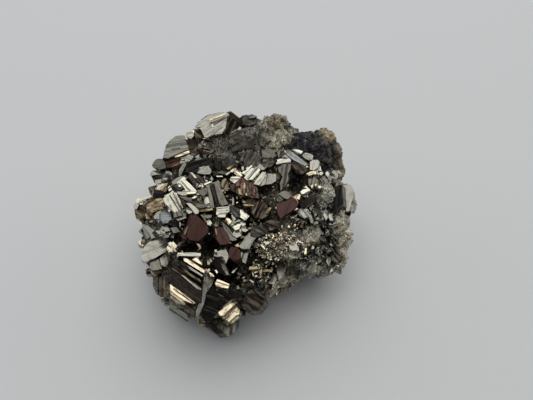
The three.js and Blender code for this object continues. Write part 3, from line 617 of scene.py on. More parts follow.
    "sheaf three": ("slate", (0, -12), -10, 3.4, 5, 0, [(-14.7, 6), (-12, 6.6), (-11.1, 4.9), (-12.9, 4.6),
        (-14.1, 4.9)]),
    "sheaf white": ("grey", (0, 1), -50, 4, 5, 0, [(-17.4, 6), (-16.2, 6.1), (-14.7, 5), (-13.4, 3.7),
        (-13.8, 2.8), (-14.8, 2.8), (-15.6, 4.2), (-16.6, 5.1)]),
    "sheaf low": ("grey", (0, 10), -30, 3.6, 4, 0.4, [(-17.4, 4.5), (-15.9, 4.5), (-15.5, 3.1),
        (-16.5, 2.7), (-17.3, 3.6)]),
    "sheaf foot": ("gold", (0, 0), 10, 4, 4, 0, [(-13.3, 3.6), (-11.1, 4.2), (-9.5, 4.5), (-9.3, 4),
        (-11.7, 3.3)]),
    # Middle: the pillar and the combs and blades to its right
    "pillar foot": ("silver", (0, 1), 70, 4.4, 4, 0, [(-11.7, 7.6), (-10.8, 8), (-10.3, 6.1),
        (-11.4, 5.7)]),
    "pillar left": ("slate", (2, 12), -74, 4, 5, 0.2, [(-10.9, 10.6), (-10.1, 11.4), (-8.9, 4.6),
        (-9.9, 4.3), (-10.6, 7.6)]),
    "pillar dark": ("brown", (10, -14), -72, 3.8, 5, 0.12, [(-9.9, 11.5), (-9.2, 12), (-7.4, 5.2),
        (-8.6, 4.3)]),
    "pillar": ("slate", (3, 14), -66, 4.2, 5, 0, [(-9, 12.1), (-7.8, 12.5), (-6.8, 10), (-5.6, 7.3),
        (-4.7, 5.7), (-6.5, 5.2), (-7.4, 5.7)]),
    "pillar head": ("gold", (6, -12), 70, 3.6, 5, 0.2, [(-6.6, 13), (-5.6, 13.5), (-4.5, 11.8), (-4.8, 9.7),
        (-6.3, 9.9), (-6.9, 11.5)]),
    "head line": ("bright", (0, 1), 0, 3.8, 3, 0, [(-8.4, 14.2), (-6.6, 14.2), (-6.2, 13.9), (-8.1, 13.8)]),
    "russet comb": ("russet", (14, -3), 73, 4, 6, 0.3, [(-2.9, 11.8), (-1.8, 12.9), (-0.9, 13.4), (0.9, 13),
        (2.4, 12.1), (3.6, 11.1), (2.4, 10), (0.9, 10.9), (-1.2, 11.2), (-2.4, 10.6)]),
    "comb gold": ("gold", (14, -2), 73, 4, 6, 0.4, [(-2.4, 10.5), (-1.2, 11.1), (0.9, 10.8), (2.4, 9.9),
        (0.6, 8), (-1.1, 7.6), (-2.3, 9)]),
    "comb dark": ("brown", (-4, -10), 80, 3.6, 5, 0.1, [(-4.2, 11.7), (-2.9, 11.7), (-2.4, 10.5),
        (-2.4, 9.1), (-3.9, 9.9)]),
    "comb tail": ("brown", (2, -6), 50, 3.8, 5, 0.3, [(3.6, 11.1), (4.4, 10), (2.5, 9.3), (2.4, 10)]),
    "comb corner": ("bright", (0, 6), 0, 4.3, 4, 0, [(-4.2, 12.7), (-3.9, 13.7), (-2.1, 13.9), (-1.1, 13.4),
        (-2.3, 12.3), (-2.9, 11.8)]),
    "blade chip": ("cream", (0, 0), -40, 4, 4, 0, [(-3, 15.5), (-1.8, 15.3), (-0.5, 14.4), (-1.2, 13.6),
        (-2.2, 14.3)]),
    "blade left": ("bright", (0, 0), 50, 4.6, 6, 0, [(-0.1, 13.6), (1.2, 15.4), (2.4, 16.3), (3.9, 16.8),
        (4.9, 15.9), (4, 14.4), (2.4, 12.9), (0.9, 13)]),
    "blade tip": ("steel", (0, 5), 60, 4.2, 4, 0, [(3.6, 17), (4, 18.5), (5.4, 17.3), (6.5, 16.2),
        (5.5, 15.9), (5, 16.1)]),
    "blade right": ("silver", (0, 1), 52, 4.6, 6, 0, [(2.7, 11.8), (3.7, 13.2), (5.4, 15.4), (6.5, 15.4),
        (6.3, 14.1), (5.4, 12.7), (4.5, 11.4)]),
    "blade back": ("steel", (2, 7), 60, 4.2, 4, 0, [(5.5, 12.7), (6.6, 14.5), (6.6, 11.7), (4.8, 11.1)]),
    "blade foot": ("steel", (0, 8), 80, 4.2, 5, 0, [(6.6, 14.8), (8, 14.9), (9.5, 14), (9.6, 12.7),
        (8, 11.7), (6.6, 11.6)]),
    "sliver": ("steel", (0, 8), 85, 3.8, 3, 0, [(-3.5, 7.9), (-3, 7.3), (-3, 5.4), (-3.6, 5.4)]),
    "gold comb": ("brown", (-14, -4), 62, 3.4, 6, 0.12, [(1.9, 3.4), (3.9, 6.9), (5.4, 7), (7.1, 4.9),
        (8, 4.6), (7.4, 2.5), (5.4, 1.3), (3.4, 1.9)]),
    "gold bar": ("gold", (0, -1), 0, 3.6, 4, 0, [(-0.3, 5.8), (1.5, 5.5), (3.4, 5.4), (3.3, 4.6),
        (1.5, 4.8), (0, 5.1)]),
    "gold rib": ("brown", (-10, -2), 62, 3.9, 4, 0.5, [(3.9, 6.9), (4.8, 7.2), (3, 2.8), (2.2, 3.4)]),
    "comb edge": ("gold", (0, 6), 62, 4, 4, 0, [(6.3, 3.1), (7.6, 4.8), (8.2, 4.6), (7.1, 2.7)]),
    # Middle: the stairs, with red faces among them
    "white step": ("silver", (0, 1), 3, 4.6, 5, 0, [(-8.4, 4.6), (-6.6, 4.8), (-4.8, 4.9), (-4.2, 3.8),
        (-5.4, 2.8), (-5.7, 1.8), (-7.4, 1.8), (-7.8, 3.4)]),
    "blue step": ("dull", (0, 14), -45, 4.2, 5, 0, [(-4.5, 5.1), (-3.8, 5.5), (-2.1, 4.6), (-0.9, 3.4),
        (-1.2, 1.9), (-2.4, 1.6), (-3.6, 3.3)]),
    "white heel": ("bright", (0, 0), -40, 4.6, 5, 0, [(-1.2, 4.2), (0, 3.5), (1.6, 2.2), (0.3, 0.9),
        (-1.2, 1.7)]),
    "step chip": ("cream", (0, 1), -60, 4, 4, 0, [(-5.4, 1.6), (-4.2, 1.3), (-3.9, 0.1), (-4.7, -0.5),
        (-5.4, 0.7)]),
    "step bits": ("grey", (0, 8), 30, 3.6, 4, 0.4, [(-3.9, 3), (-2.7, 2.2), (-1.2, 1.2), (-1.2, 0.4),
        (-2.9, 0), (-3.6, 1.5)]),
    "stair chip": ("bright", (0, 0), 20, 4.4, 4, 0, [(-3.2, -1), (-1.8, -0.2), (-0.9, -0.2), (-1.5, -1.7),
        (-2.7, -2.1)]),
    "grey stair": ("grey", (2, 12), -55, 3.8, 5, 0, [(-2.7, -2.1), (-0.9, -1.8), (-0.8, -3.7), (-2.3, -4.4),
        (-3.6, -3.2)]),
    "stair band": ("slate", (2, 9), -50, 3.8, 5, 0.3, [(-7.4, 1.3), (-6.3, 0.8), (-4.7, -1.3), (-3, -3.8),
        (-2.1, -4.9), (-3.3, -5.3), (-4.2, -5), (-5.4, -2.6)]),
    "stair dark": ("black", (8, -12), -50, 3.4, 4, 0.12, [(-6.2, 0.9), (-5.4, 0.6), (-3.6, -1.2),
        (-2.7, -2.1), (-3.8, -3.1), (-4.7, -1.3)]),
    "leaf chip": ("grey", (0, 6), -20, 4, 4, 0, [(-0.9, -1.3), (0.3, -1), (1.3, -2), (0.3, -2.6),
        (-0.6, -2.3)]),
    "leaf spot": ("gold", (0, 0), 10, 4, 3, 0, [(1, -1.3), (1.8, -1.1), (2.2, -1.6), (1.6, -2)]),
    "red wedge": ("red", (0, -8), -60, 4.2, 6, -1, [(-8.6, -2.5), (-8.1, -1.4), (-6.5, -1.1), (-5, -2.8),
        (-4, -4.9), (-4.4, -6.1), (-7.1, -6.4), (-8.3, -4.6)]),
    "wedge edge": ("russet", (0, 2), -75, 4.4, 3, 0, [(-8.8, -1.6), (-8.3, -1.6), (-8, -3.7),
        (-8.4, -3.3)]),
    "red coin": ("red", (0, -12), 60, 4.4, 5, 0.1, [(-4.5, -7.9), (-3.8, -7), (-2.4, -7.1), (-1.1, -8.1),
        (-0.9, -10.4), (-2.7, -11.2), (-3.9, -10.6), (-4.6, -9.1)]),
    "grey leaf": ("steel", (0, 13), 52, 4.2, 6, -1, [(0.4, -3.7), (1.8, -2.5), (3.6, -2.3), (4.5, -3.2),
        (3.4, -4.5), (2.2, -6.2), (1.6, -7.6), (-0.2, -7.7), (-1.8, -7), (-0.6, -5.8)]),
    "leaf tail": ("steel", (0, 12), 70, 4.6, 5, 0.2, [(-0.9, -8.1), (1.5, -7.8), (0.9, -10.4), (0.4, -12.1),
        (-0.5, -11.6), (-1, -9.7)]),
    "leaf corner": ("gold", (0, 3), 30, 4.2, 3, 0, [(-2.9, -6.6), (-1.8, -6), (-1.2, -7.1), (-2.3, -7)]),
    "grey jag": ("steel", (0, 8), -12, 4.2, 4, -1, [(-8.9, -8.1), (-7.8, -8.3), (-6.9, -8), (-5.4, -7.8),
        (-4.8, -9.1), (-4.7, -10.3), (-5.4, -11.9), (-5.9, -10.6), (-6.6, -9.8), (-7.8, -10),
        (-8.9, -9.8)]),
    "jag spark": ("bright", (0, 0), 0, 4.6, 3, 0, [(-8.9, -8), (-8.3, -7.8), (-8, -8.5), (-8.6, -8.8)]),
    "dark streak": ("slate", (4, 11), -65, 3.4, 5, 0, [(-7.4, -10.5), (-6.3, -10.7), (-4.5, -15.3),
        (-5.3, -15.5), (-6.5, -13.3)]),
    "streak wall": ("black", (0, -16), -65, 2.8, 5, 0.12, [(-9, -10.3), (-7.5, -10.4), (-6.6, -13.3),
        (-5.4, -15.7), (-7.8, -14.5), (-9, -12.1)]),
    "white chip": ("cream", (0, 1), -50, 3.6, 3, 0, [(-8.8, -14), (-8.3, -13.9), (-7.8, -14.7),
        (-8.2, -15)]),
    "nook chip": ("gold", (0, 6), 70, 3.4, 3, 0, [(-11.2, -10.9), (-10.3, -11.5), (-10.1, -12.4),
        (-10.9, -12.5)]),
    # The red block and its frame
    "red block": ("red", (0, -16), 60, 4.6, 7, -1, [(-16.2, 1), (-15.8, 2), (-14.1, 2.2), (-12.3, 0.7),
        (-10.7, -1), (-10.7, -2.8), (-12.3, -4.1), (-13.8, -5.3), (-16.2, -5), (-17.2, -4), (-16.8, -1.6)]),
    "red block wall": ("red", (-16, -12), 62, 4, 5, 0.15, [(-18.8, -4), (-17.5, -1.5), (-16.5, 1.2),
        (-16.2, 0.7), (-16.8, -1.6), (-17.4, -4), (-16.9, -4.9), (-18.3, -4.6)]),
    "block line": ("gold", (0, 0), 62, 4.5, 3, 0, [(-18.1, -3.2), (-17.1, -1), (-16.7, -0.1), (-16.7, -0.9),
        (-17.7, -3.4)]),
    "block white": ("silver", (0, 1), 40, 4.6, 4, 0, [(-11.1, 0.7), (-10.3, 1.2), (-9.6, 0.1),
        (-10.1, -0.8), (-11, -0.4)]),
    "block frame": ("gold", (0, 2), -55, 4.2, 3, 0, [(-13, 2.5), (-12.6, 2.7), (-10.9, 0.3),
        (-11.2, -0.1)]),
    "frame blue": ("slate", (0, 20), 0, 3.4, 3, 0, [(-12.2, 2.2), (-11.4, 2.5), (-9.6, 2.4), (-9.8, 1.6),
        (-10.9, 1.3), (-11.8, 1.5)]),
    "void sliver": ("bright", (0, 2), 80, 3.4, 3, 0, [(-19.4, 0.4), (-19, 0.4), (-18.8, -0.4),
        (-19.2, -1.3)]),
    # Left tip and the chips below it
    "blue coin": ("blue", (0, 22), 0, 4.2, 5, -1, [(-25, 3.1), (-24.3, 3.8), (-22.8, 3.8), (-21.9, 2.8),
        (-21.8, 1.3), (-22.8, 0.1), (-24.2, 0), (-25, 1.3)]),
    "coin rim": ("steel", (-4, 9), 60, 3.8, 4, -1, [(-27, 2.2), (-26.1, 3.4), (-24.7, 3.9), (-25.1, 3),
        (-25.1, 1.3), (-26, 1.3), (-26.8, 1.3)]),
    "coin wall": ("black", (6, -16), -20, 3, 4, 0.12, [(-21.9, 1), (-19.8, 0.6), (-19.2, -0.7),
        (-20.4, -0.9), (-22.8, -0.2)]),
    "left tip roof": ("silver", (-2, 8), 22, 3, 5, 0.1, [(-31.6, 6.3), (-31.1, 7.1), (-29.3, 7.8),
        (-27.3, 8), (-25.8, 7.8), (-27.3, 6.8), (-29.5, 5.8), (-31.1, 5.5)]),
    "left tip": ("gold", (-2, 15), 20, 2.4, 6, -1, [(-29.3, 5.4), (-27.8, 6.4), (-26.1, 7.4), (-24.3, 7.5),
        (-23.7, 5.7), (-23.5, 4.3), (-25.8, 4), (-27.4, 3.2), (-29, 4.2)]),
    "left tip wall": ("gold", (-18, -10), -30, 1.6, 6, 0.2, [(-32.8, 4), (-31.6, 4.8), (-30.8, 4.9),
        (-29.3, 3.9), (-27.6, 2.6), (-27.7, 1.9), (-28.1, 0.9), (-30.8, 0.4), (-32.3, 1.3)]),
    "left tip rib": ("gold", (0, 10), -40, 2.4, 4, 0, [(-30.7, 5.3), (-29.5, 5.4), (-27.6, 3.4),
        (-27.8, 2.8), (-29.3, 4.1)]),
    "left tip low": ("gold", (-6, 8), -70, 2.2, 4, 0, [(-29.6, 3.1), (-28, 2.6), (-28.1, 1.2),
        (-29.3, 1.3)]),
    "tip corner": ("steel", (-4, 3), 60, 1.8, 4, 0, [(-33.1, 5.2), (-32.6, 6.1), (-31.6, 6.3), (-31.5, 5.4),
        (-32.2, 4.2), (-32.9, 4.3)]),
    "tip line": ("cream", (0, 2), 15, 1.8, 3, 0, [(-31.2, 0.2), (-29.3, 0.9), (-28.7, 0.5), (-30.8, -0.1)]),
    "tip spot": ("gold", (0, 0), 0, 2.4, 3, 0, [(-28.4, 0.7), (-27.3, 0.9), (-27.3, 0.3), (-28.1, 0.2)]),
    "left shard": ("steel", (-10, 18), -38, 1.6, 5, 0, [(-30.5, -0.1), (-28.7, -0.7), (-27, -1.9),
        (-25.2, -2.9), (-25.8, -4.1), (-27.6, -4.8), (-28.4, -2.9), (-29.6, -1.4)]),
    "left chip": ("steel", (0, 9), -20, 3.4, 4, 0, [(-24.4, -1.1), (-22.9, -0.7), (-22.1, -2.2),
        (-23.7, -2.6)]),
    "left chip two": ("slate", (0, 12), -20, 3.4, 4, 0, [(-21.9, -1.4), (-20.1, -1.1), (-19.2, -2.6),
        (-21.1, -3)]),
    "left chip three": ("grey", (-4, 12), 10, 3, 4, 0, [(-26.5, -2.3), (-24.7, -2.2), (-23.3, -3.8),
        (-25.2, -3.8)]),
    "left chip four": ("slate", (0, 6), 20, 3.2, 3, 0, [(-24.3, -3.9), (-22.6, -3.4), (-22.4, -4.2),
        (-23.8, -4.5)]),
    # Lower left: the cushion, its crumbs and the rim of the dark eye
    "cushion": ("grey", (-6, 13), 18, 2.6, 7, -1, [(-30.8, -10), (-30.5, -8.1), (-29.8, -6.9),
        (-28.3, -5.4), (-26.4, -5.1), (-24.3, -4.5), (-22.2, -3.8), (-22.2, -5.6), (-22.7, -7), (-22.8, -8),
        (-24.4, -9), (-26.5, -10.4), (-28.1, -11), (-29.3, -11.9), (-30.1, -11.5)]),
    "cushion left": ("slate", (-4, 8), -75, 4.4, 6, -1, [(-28.1, -11.2), (-26.5, -10.6), (-25.4, -10.7),
        (-24.7, -12.4), (-24.3, -13.5), (-26.1, -14), (-27.6, -14), (-28.2, -12.7)]),
    "cushion right": ("grey", (8, 23), -75, 2.4, 6, -1, [(-25.2, -10.5), (-23.7, -9.2), (-22.2, -8.8),
        (-21.9, -9.4), (-22.2, -10.9), (-23.2, -12.8), (-24, -12.7), (-24.8, -12.2)]),
    "cushion foot": ("cream", (0, 4), 0, 3.2, 4, 0, [(-28, -14.3), (-26.4, -14.4), (-24.3, -14.1),
        (-25.2, -14.8), (-26.4, -15.6), (-27.3, -15.2)]),
    "crumb": ("bright", (0, 1), 40, 4.4, 3, 0, [(-22.8, -6), (-22, -5.5), (-21.4, -6.1), (-21.9, -7)]),
    "crumb two": ("cream", (0, 3), 40, 4.2, 3, 0, [(-23.2, -7.4), (-22.3, -7), (-21.7, -7.8), (-21.3, -8.7),
        (-22.5, -8.1)]),
    "crumb three": ("grey", (0, 8), -50, 4, 3, 0, [(-21.6, -6.4), (-20.8, -7.3), (-20.1, -8.5),
        (-21, -8.5)]),
    "plinth": ("steel", (-6, 14), 88, 2, 5, 0, [(-27.2, -16), (-26.2, -15.9), (-26.1, -20.2),
        (-25.9, -21.4), (-26.8, -20.2), (-27.3, -18.2)]),
    "plinth wall": ("brown", (-10, -8), 88, 1.4, 6, 0.25, [(-26, -15.9), (-24.3, -15.7), (-22.6, -15.1),
        (-22.5, -18.1), (-22.4, -20.2), (-22.5, -22), (-24.9, -22.1), (-25.7, -21.4)]),
    "eye rim": ("brown", (0, 7), 30, 3, 3, 0, [(-20.1, -6.7), (-19.5, -5.5), (-17.4, -5.1), (-17.1, -5.5),
        (-18.7, -6), (-19.2, -7.2)]),
    "eye rim two": ("gold", (0, 8), -10, 3, 3, 0, [(-17.1, -4.9), (-14.7, -5.5), (-14.4, -6),
        (-16.8, -5.6)]),
    "eye rim three": ("gold", (0, 2), -60, 3.2, 3, 0, [(-14.4, -5.8), (-13.2, -6.3), (-12.7, -7.2),
        (-13.5, -8), (-14, -8.3), (-13.3, -7.2)]),
    # The big block at the bottom, with its bright stripes
    "lip": ("silver", (0, 1), 0, 6.4, 5, 0, [(-19.7, -9.3), (-18.6, -8.9), (-16.2, -8.7), (-13, -8.9),
        (-12.9, -9.5), (-13.3, -10), (-16.2, -10), (-18, -9.7), (-19.5, -9.7)]),
    "big block": ("brown", (-22, -16), -35, 5.4, 8, 0.12, [(-21.9, -17.9), (-21.9, -14.5), (-21, -11.8),
        (-18.6, -11.2), (-12.3, -15.3), (-12.8, -23.9), (-14.2, -23.8)]),
    "big stripe": ("cream", (0, 0), -34, 7.8, 4, 0, [(-18.1, -10.4), (-16.8, -10.6), (-15.3, -11.5),
        (-11.8, -13.9), (-11.9, -14.8), (-12.7, -14.5), (-18, -11.2)]),
    "big stripe two": ("cream", (0, 0), -34, 8, 4, 0, [(-15.6, -10.9), (-14.4, -10.3), (-13.7, -10.6),
        (-12.5, -12.6), (-13.8, -11.9)]),
    "big stripe three": ("grey", (0, 8), -35, 7, 3, 0, [(-19, -15.3), (-18, -15.7), (-12.9, -19.4),
        (-12.9, -20), (-14.1, -19.6)]),
    "big stripe four": ("grey", (0, 10), -35, 7.6, 3, 0, [(-17.1, -12.5), (-16.2, -13), (-12.3, -15.6),
        (-12.6, -16), (-16.2, -13.7)]),
    "big stripe five": ("gold", (-4, 20), -35, 7.3, 3, 0, [(-18, -14.2), (-17.1, -14.4), (-13, -17.1),
        (-13, -17.5), (-17.4, -14.8)]),
    "big band": ("cream", (0, 0), -36, 7.8, 5, 0, [(-22.1, -18.2), (-21.4, -18.7), (-18.4, -20.8),
        (-14.3, -23.8), (-15.4, -24), (-18, -23), (-20.5, -21.2), (-22.1, -19.9)]),
    "big band two": ("cream", (0, 5), -38, 7.2, 4, 0, [(-22.1, -20.2), (-20.4, -21.7), (-17.8, -23.5),
        (-17.4, -24.1), (-19.8, -23.5), (-21.9, -21.7)]),
    "big side": ("grey", (24, 0), -80, 5.6, 6, -1, [(-12, -14.4), (-10.8, -14.3), (-9.6, -15.3),
        (-9, -16.3), (-9.5, -18.2), (-10.3, -19.4), (-11.4, -20.8), (-11.7, -22.9), (-12.3, -24.7),
        (-13.2, -26.9), (-14.1, -27.8), (-14.3, -26.2), (-13.5, -23.9), (-12.8, -20.2), (-12.8, -16)]),
    "side chip": ("cream", (0, 1), -30, 7.6, 3, 0, [(-10.5, -14.6), (-9.3, -15.1), (-8.9, -16),
        (-10.1, -15.9)]),
    "block foot": ("brown", (-4, -10), -38, 5, 5, 0.3, [(-18, -24.4), (-16.2, -24), (-14.4, -24.2),
        (-14.4, -26.2), (-15.3, -27.7), (-16.8, -26.3)]),
    "dark flank": ("black", (10, -16), -20, 5.2, 7, 0.12, [(-10.5, -19.6), (-9, -18.7), (-7.8, -19.6),
        (-7.5, -22.9), (-8, -26.8), (-9.9, -29.2), (-11.7, -29.5), (-12.9, -27.7), (-12, -24.8),
        (-11.2, -20.9)]),
    # Bottom: the dark wall, the bright steps and the gable
    "wall sill": ("cream", (0, 0), -18, 5.2, 5, 0, [(-8.6, -17.9), (-8, -16.7), (-6.5, -17.3),
        (-4.4, -18.2), (-4.8, -19.5), (-6.8, -19.2), (-8.3, -18.8)]),
    "black wall": ("black", (4, -18), -25, 3.6, 6, 0.12, [(-8.1, -19.3), (-4.8, -19.9), (-1.2, -19.6),
        (-0.6, -22.3), (-3.6, -22.7), (-7.5, -25.7), (-8, -22.9)]),
    "wall streak": ("gold", (0, 8), -25, 3.9, 3, 0, [(-8, -20.9), (-5.9, -21.8), (-6.3, -22.1),
        (-7.8, -21.3)]),
    "front step": ("cream", (0, 4), 42, 5.2, 6, 0, [(-7.9, -26.3), (-6, -24.8), (-4.5, -23.6),
        (-2.9, -22.7), (-1.9, -23.6), (-3.2, -24.6), (-4.7, -26), (-6.2, -27.6), (-7.3, -27.5)]),
    "front step two": ("cream", (0, 0), 42, 5.8, 6, 0, [(-5.4, -28.9), (-5.1, -27.8), (-3.8, -26.3),
        (-2.3, -25), (-1.3, -25.9), (-1.5, -27.2), (-2.3, -27.5), (-3.3, -28.4), (-4.6, -29.6)]),
    "front foot": ("slate", (2, -8), 80, 2.6, 6, 0, [(-7.4, -28), (-5.9, -29), (-4.5, -29.9), (-2.9, -28.6),
        (-2.4, -30.1), (-2.6, -32.2), (-3.6, -33.5), (-5, -33.7), (-6.5, -32.3), (-7.2, -30.4)]),
    "foot wall": ("brown", (-2, -16), -40, 2, 6, 0.12, [(-11.7, -29.8), (-9.3, -29.2), (-7.5, -27.8),
        (-6.6, -30.7), (-6, -32.9), (-8.1, -33.2), (-9.6, -31.9), (-11.4, -31)]),
    "brown gable": ("brown", (4, -14), -32, 4.2, 6, 0.04, [(-0.3, -22.9), (0.6, -20.8), (2.4, -19.7),
        (4.2, -20.6), (6.1, -22.1), (6.3, -23.5), (5.4, -24.7), (4.2, -26.2), (1.6, -26.5), (-0.3, -25.6)]),
    "gable edge": ("dull", (0, 9), -32, 4.6, 4, 0, [(1.8, -19), (2.5, -19.3), (4.3, -20.6), (6.3, -22),
        (6.7, -22.8), (6, -22.5), (4, -21.1)]),
    "gable foot": ("grey", (0, 6), 60, 4, 4, 0, [(-0.9, -25.7), (0.6, -26), (0.3, -27.8), (-1.1, -27.8),
        (-1.7, -26.8)]),
    # Lines and flashes of the fine-grained side
    "nub line": ("grey", (0, 8), -30, 3, 3, 0, [(1.5, -16.9), (2.1, -16.9), (3.1, -17.6), (2.5, -17.8)]),
    "nook line": ("grey", (0, 8), 45, 3, 3, 0, [(-3.8, -14.8), (-3.2, -14), (-2.1, -13.1), (-2, -13.4),
        (-3.2, -14.9)]),
    "tan facet": ("gold", (0, 9), 5, 3.2, 4, 0, [(1.6, -12.9), (3.6, -12.5), (4.4, -13.7), (2.6, -14),
        (1.4, -13.9)]),
    "bright spot": ("cream", (0, 0), -45, 3.8, 3, 0, [(4.8, -6.3), (5.7, -6.5), (6.4, -7.7), (5.7, -7.8)]),
    "brush": ("steel", (0, 8), 65, 6, 4, 0.4, [(7.3, -18), (8.3, -15.7), (9.8, -14.7), (10.4, -15.7),
        (9.7, -18.1), (9.2, -19.3), (8.2, -20), (8.7, -18.3)]),
    "brush two": ("gold", (0, 1), 5, 3.4, 3, 0, [(5.5, -14.1), (6.6, -13.7), (8.7, -13.7), (8.2, -14.6),
        (7.3, -14.4), (5.7, -14.7)]),
    "brush three": ("gold", (0, 3), 80, 3.4, 3, 0, [(4.5, -14.2), (5.5, -14.1), (5.4, -16.1),
        (4.8, -16.2)]),
    "matrix facet": ("grey", (0, 10), 75, 3.8, 4, -1, [(13.4, -5.2), (14, -5.1), (15.5, -4.9), (15.8, -5.8),
        (15.8, -7.9), (14.3, -8.2), (13.6, -7.3)]),
    "facet wall": ("brown", (20, -14), 80, 3.2, 5, 0, [(15.8, -4.9), (17, -5), (17.7, -6.4), (17.3, -8.1),
        (16.1, -8.3)]),
    "matrix flash": ("cream", (0, 1), 85, 3.6, 3, 0, [(17.8, -7.5), (18.7, -7.3), (18.8, -9.1),
        (18.1, -9.3)]),
    # Upper right: the ledge, the blue roof and the rim
    "ledge": ("silver", (0, 1), 15, 4.6, 4, 0, [(9.5, 18.1), (11, 19), (13.4, 19.4), (14, 19), (14, 18.2),
        (11.9, 18.1), (9.8, 17.6)]),
    "blue roof": ("blue", (0, 15), -38, 4.6, 5, 0, [(11.3, 19.6), (12.8, 20.6), (14.3, 21.4), (15.8, 20.3),
        (17.3, 19), (19, 17.6), (18.2, 16.9), (15.8, 18.1), (13.7, 19)]),
    "roof top": ("bright", (0, 4), -25, 4.6, 4, 0, [(14.3, 22), (15.9, 22), (17.6, 21.5), (17, 20.6),
        (16.4, 20.4), (15.5, 20.9)]),
    "roof line": ("cream", (0, 0), -42, 4.9, 3, 0, [(16.6, 18.8), (17.3, 18.6), (18.4, 17.5), (19.3, 16.8),
        (18.5, 16.7), (17.3, 17.6)]),
    "blue wall": ("brown", (-4, -13), -42, 4, 6, 0.3, [(14, 18.1), (15.2, 18.7), (17, 17.8), (18.8, 16.6),
        (19.1, 15.9), (17.3, 14.5), (15.8, 14.8), (14.6, 16.3)]),
    "ring": ("steel", (0, 8), -15, 4.8, 4, 0, [(17.3, 20.2), (17.9, 20.9), (19.4, 20.6), (20.6, 19.7),
        (20.5, 19), (19.4, 18.8), (18.2, 19.3)]),
    "cream block": ("grey", (0, 4), 80, 5, 5, 0, [(19.7, 18.4), (20.6, 19), (22.1, 19), (22.7, 18.1),
        (22.1, 16.6), (20.9, 15.7), (19.7, 16)]),
    "block side": ("blue", (8, 20), 80, 4.6, 4, 0, [(21.7, 16.6), (22.6, 18.3), (22.7, 17.3), (22.2, 15.4),
        (21.7, 14.5), (21.4, 15.7)]),
    "cream chip": ("cream", (0, 0), 25, 4.6, 3, 0, [(18.5, 14.8), (19.7, 15.4), (20.9, 15.7), (21.1, 14.8),
        (19.4, 14.2)]),
    "rim chip": ("bright", (0, 0), 20, 4, 3, 0, [(22.3, 15), (23.2, 15.5), (23.7, 15), (23.1, 14.3)]),
    "rim chip two": ("bright", (0, 1), 70, 3.8, 3, 0, [(24.3, 15), (24.9, 15.6), (25.5, 14.7), (25.2, 13.7),
        (24.5, 14.3)]),
    "rim blue": ("blue", (0, 10), 70, 3.6, 3, 0, [(25.4, 14.4), (26.1, 14.1), (26.2, 13.1), (25.6, 13.3)]),
    "rim slab": ("brown", (5, -10), 80, 3.8, 4, 0, [(20.7, 14.2), (22, 14.5), (22.4, 11.8), (21.4, 12.1),
        (20.6, 13)]),
    # Right middle: beads, the red gable and the teeth
    "bead": ("bright", (0, 0), 30, 6.2, 3, 0, [(16.8, 9.4), (17.6, 10.2), (18.8, 10.3), (19.5, 9.6),
        (18.4, 8.7), (17.3, 8.7)]),
    "bead two": ("cream", (0, 1), 40, 6.2, 3, 0, [(15.5, 7.8), (15.9, 8.7), (16.9, 8.3), (16.5, 7),
        (15.7, 7.3)]),
    "bead three": ("cream", (0, 0), 40, 6.2, 3, 0, [(19.9, 11.4), (20.6, 11.7), (20.8, 10.8),
        (20.3, 10.4)]),
    "bead four": ("cream", (0, 2), 40, 6.2, 3, 0, [(20.9, 11.8), (21.6, 11.9), (21.8, 11.3), (21.3, 10.9)]),
    "bead five": ("bright", (0, 0), 20, 6.2, 3, 0, [(22, 11.1), (22.8, 11.3), (23.1, 10.7), (22.4, 10.3)]),
    "bead wall": ("dull", (0, 9), 38, 4.4, 3, 0, [(19.4, 8.2), (20.9, 9.3), (21.5, 9), (19.7, 7.7)]),
    "red gable": ("red", (0, -8), 60, 5, 7, -1, [(9.5, 6), (10.7, 6.6), (12.2, 6.6), (13.5, 7.2),
        (14.6, 7.8), (15.5, 7.3), (16.3, 5.7), (15.3, 4.5), (14.1, 3.6), (12.7, 2.8), (11, 1.4),
        (10.1, 2.8)]),
    "gable cap": ("slate", (2, 12), -35, 5, 5, -1, [(10.5, 8.7), (11.1, 9.5), (12.2, 9.8), (13.4, 9.4),
        (14.1, 8.2), (13.1, 7.2), (11.9, 7.5)]),
    "cap left": ("slate", (0, 11), -35, 4.8, 4, 0, [(9.7, 7.2), (10.3, 8.1), (11, 7.9), (11.8, 6.9),
        (10.8, 6.4), (9.9, 6.6)]),
    "blue teeth": ("grey", (2, 12), -50, 5, 5, 0.2, [(15.4, 3.8), (16.6, 4.5), (17.7, 4.2), (18.8, 4.4),
        (19.4, 3.4), (20.2, 2.2), (20.6, 0.7), (20.9, -0.2), (20, 0.3), (19.3, 2.1), (17.9, 1.5),
        (16.6, 2.4)]),
    "teeth chip": ("bright", (0, 6), -20, 5, 3, 0, [(14.5, 4.6), (15.5, 4.9), (16.2, 4.3), (15.1, 3.9)]),
    "right slab": ("brown", (4, -16), 32, 3.6, 6, 0.2, [(16.6, 6), (19.4, 8.1), (21.4, 8.8), (21.7, 7),
        (19.4, 5.1), (17.1, 4.2)]),
    # Right edge and flank
    "pale flat": ("grey", (8, 8), 84, 6.4, 6, -1, [(29.7, 11.4), (31.7, 11.6), (32.5, 10), (32.7, 7.9),
        (31.9, 5.8), (31.7, 3.8), (30.6, 3.6), (30.1, 6.1), (29.7, 8.8)]),
    "pale flat side": ("grey", (22, 6), 84, 4.6, 5, -1, [(32, 5.7), (32.8, 7.3), (33.5, 5.8), (33, 4.2),
        (31.9, 2.8)]),
    "flat wall": ("black", (-12, -14), 84, 4, 6, 0.12, [(27, 10.9), (29.4, 11.7), (29.5, 8.5), (29.8, 5.8),
        (28.2, 4.8), (27, 2.2), (26.1, 3.6), (26.1, 6.1), (27.3, 7.3)]),
    "flat red": ("russet", (8, 4), 20, 4.6, 4, 0, [(29.4, 2.7), (31.7, 3.1), (31.8, 2.2), (30.3, 1.5),
        (29.3, 1.6)]),
